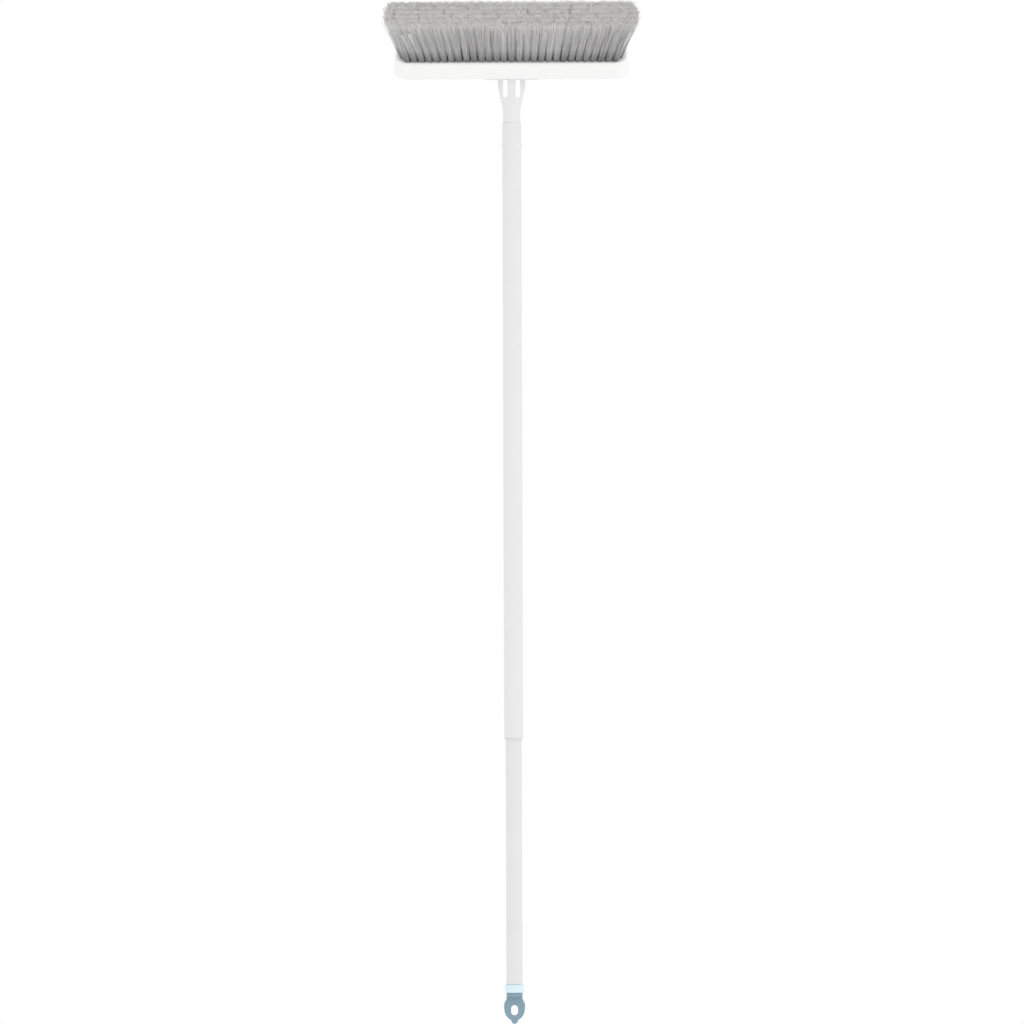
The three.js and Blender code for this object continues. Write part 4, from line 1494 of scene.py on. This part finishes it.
# %% Round the loop
LOOP_VOXEL = 0.00055
LOOP_SMOOTHING = 0.5
LOOP_PASSES = 8
LOOP_CREASE = math.radians(60)

bm = bmesh.new()
bm.from_mesh(frame["nodes"]["hang_loop"].data)
loop = mesh_object("hang_loop_moulding", bm)
remesh = loop.modifiers.new("small_cubes", "REMESH")
remesh.mode = "VOXEL"
remesh.voxel_size = LOOP_VOXEL
smooth = loop.modifiers.new("soft", "SMOOTH")
smooth.factor = LOOP_SMOOTHING
smooth.iterations = LOOP_PASSES
loop = bake(loop, "hang_loop_moulding")
crease(loop.data, LOOP_CREASE)
finish_piece(loop, LOOP_BODY, ["hang_loop"], slate_blue)

# %% [markdown]
# ## Pieces inside the pole
#
# The lock, the clip's steel strip and the pins are hidden in normal use, so the frame's own solids are
# good enough. They only get their real finishes.

# %% Finish the carried-over solids
STEEL_NODES = (
    "clip_bend", "right_clip_arm", "left_clip_arm", "lock_washer", "lock_screw", "lock_pin", "cap_pin",
    "loop_washer", "loop_screw",
)
inside = dict.fromkeys(STEEL_NODES, bright_steel)
inside["lock_plug"] = dark_plastic
inside["lock_ring"] = white_plastic
for node, material in inside.items():
    for slot in frame["nodes"][node].material_slots:
        slot.link = "OBJECT"
        slot.material = material
print("finished inside:", len(inside), "solids")

# %% [markdown]
# ## Stage and light
#
# The brush is shown against plain white, so the sky is white to the camera and to mirror-like rays, and
# a calmer grey to everything that it lights. One soft sun from the right and above gives the tubes
# their lighter side. The floor is a pale disc that fades out at its edge. It lies far enough below the
# loop for the pole to slide out, and it shows from above only, so it hides nothing from below.

# %% Sky and sun
SKY_LEVEL = 0.97
SUN_LEVEL = 0.2
SUN_SPREAD = math.radians(50)
SUN_WAY = (-0.62, 0.62, -0.48)

world = bpy.data.worlds.new("studio")
bpy.context.scene.world = world
world.use_nodes = True
world.node_tree.nodes.clear()
bench = Bench(world.node_tree)
seen = bench.node("ShaderNodeLightPath", output="Is Camera Ray")
for kind in ("Glossy", "Transmission"):
    seen = seen.at_least(bench.node("ShaderNodeLightPath", output=f"Is {kind} Ray"))
calm = {"Color": (SKY_LEVEL, SKY_LEVEL, SKY_LEVEL, 1), "Strength": 1.0}
lit = bench.node("ShaderNodeBackground", None, calm)
white = bench.node("ShaderNodeBackground", None, {"Color": (1, 1, 1, 1), "Strength": 1.0})
sky = bench.node("ShaderNodeMixShader", None, {0: seen, 1: lit, 2: white})
bench.node("ShaderNodeOutputWorld", None, {"Surface": sky})

sun = bpy.data.lights.new("soft_sun", "SUN")
sun.energy = SUN_LEVEL
sun.angle = SUN_SPREAD
sun_object = bpy.data.objects.new("soft_sun", sun)
sun_object.rotation_euler = Vector(SUN_WAY).to_track_quat("-Z", "Y").to_euler()
bpy.context.scene.collection.objects.link(sun_object)
print("sky", SKY_LEVEL, "sun", SUN_LEVEL)

# %% Floor
FLOOR_DROP = 0.42
FLOOR_RADIUS = 1.5
FLOOR_SIDES = 64
FLOOR_FADE = 0.6
FLOOR_PALE = (0.93, 0.93, 0.93, 1)

material, bench = new_finish("pale_floor")
place = bench.node("ShaderNodeTexCoord", output="Object")
far = bench.node("ShaderNodeVectorMath", {"operation": "LENGTH"}, {0: place}, "Value")
fade = ((FLOOR_RADIUS - far) / (FLOOR_RADIUS * FLOOR_FADE)).at_most(1.0).at_least(0.0)
clear = bench.node("ShaderNodeBsdfTransparent")
pale = bench.node("ShaderNodeBsdfDiffuse", None, {"Color": FLOOR_PALE})
under = bench.node("ShaderNodeNewGeometry", output="Backfacing")
surface = bench.node("ShaderNodeMixShader", None, {0: fade * (1 - under), 1: clear, 2: pale})
bench.node("ShaderNodeOutputMaterial", None, {"Surface": surface})

bm = bmesh.new()
bm.faces.new(loop_of(bm, circle(0, 0, FLOOR_RADIUS, FLOOR_SIDES), 0))
floor = mesh_object("floor", bm)
floor.location.z = cad_box[0][2] - FLOOR_DROP
floor.data.materials.append(material)
print(f"floor at z {floor.location.z:.3f}")

# %% [markdown]
# ## Camera
#
# The photograph is taken square from the front with a long lens, so the camera stands far away and its
# frame is set by one scale: how many metres a pixel covers at the pole. A small roll gives the slight
# lean of the pole in the picture.

# %% Camera
PICTURE_SIDE = 1024
METRES_PER_PIXEL = 0.00165
MOUTH_PIXEL = (513.7, 738.0)
CAMERA_DISTANCE = 16.0
CAMERA_ROLL = math.radians(0.19)
SENSOR_WIDTH = 36.0
VIEW_REACH = 100.0

frame_side = PICTURE_SIDE * METRES_PER_PIXEL
centre_x = (PICTURE_SIDE / 2 - MOUTH_PIXEL[0]) * METRES_PER_PIXEL
centre_z = (MOUTH_PIXEL[1] - PICTURE_SIDE / 2) * METRES_PER_PIXEL
lens = bpy.data.cameras.new("front_camera")
lens.sensor_width = SENSOR_WIDTH
lens.sensor_fit = "HORIZONTAL"
lens.lens = SENSOR_WIDTH * CAMERA_DISTANCE / frame_side
lens.clip_end = VIEW_REACH
camera = bpy.data.objects.new("front_camera", lens)
roll = Matrix.Rotation(CAMERA_ROLL, 4, "Y")
centre = roll @ Vector((centre_x, 0, centre_z))
stand = Matrix.Translation(centre + Vector((0, -CAMERA_DISTANCE, 0)))
camera.matrix_world = stand @ roll @ Matrix.Rotation(math.pi / 2, 4, "X")
bpy.context.scene.collection.objects.link(camera)
bpy.context.scene.camera = camera
bpy.context.scene.view_settings.view_transform = "Standard"
print(f"lens {lens.lens:.0f} mm at {CAMERA_DISTANCE} m")

# %% [markdown]
# ## Last update
#
# The view layer is brought up to date once the brush is finished.

# %% Update
bpy.context.view_layer.update()
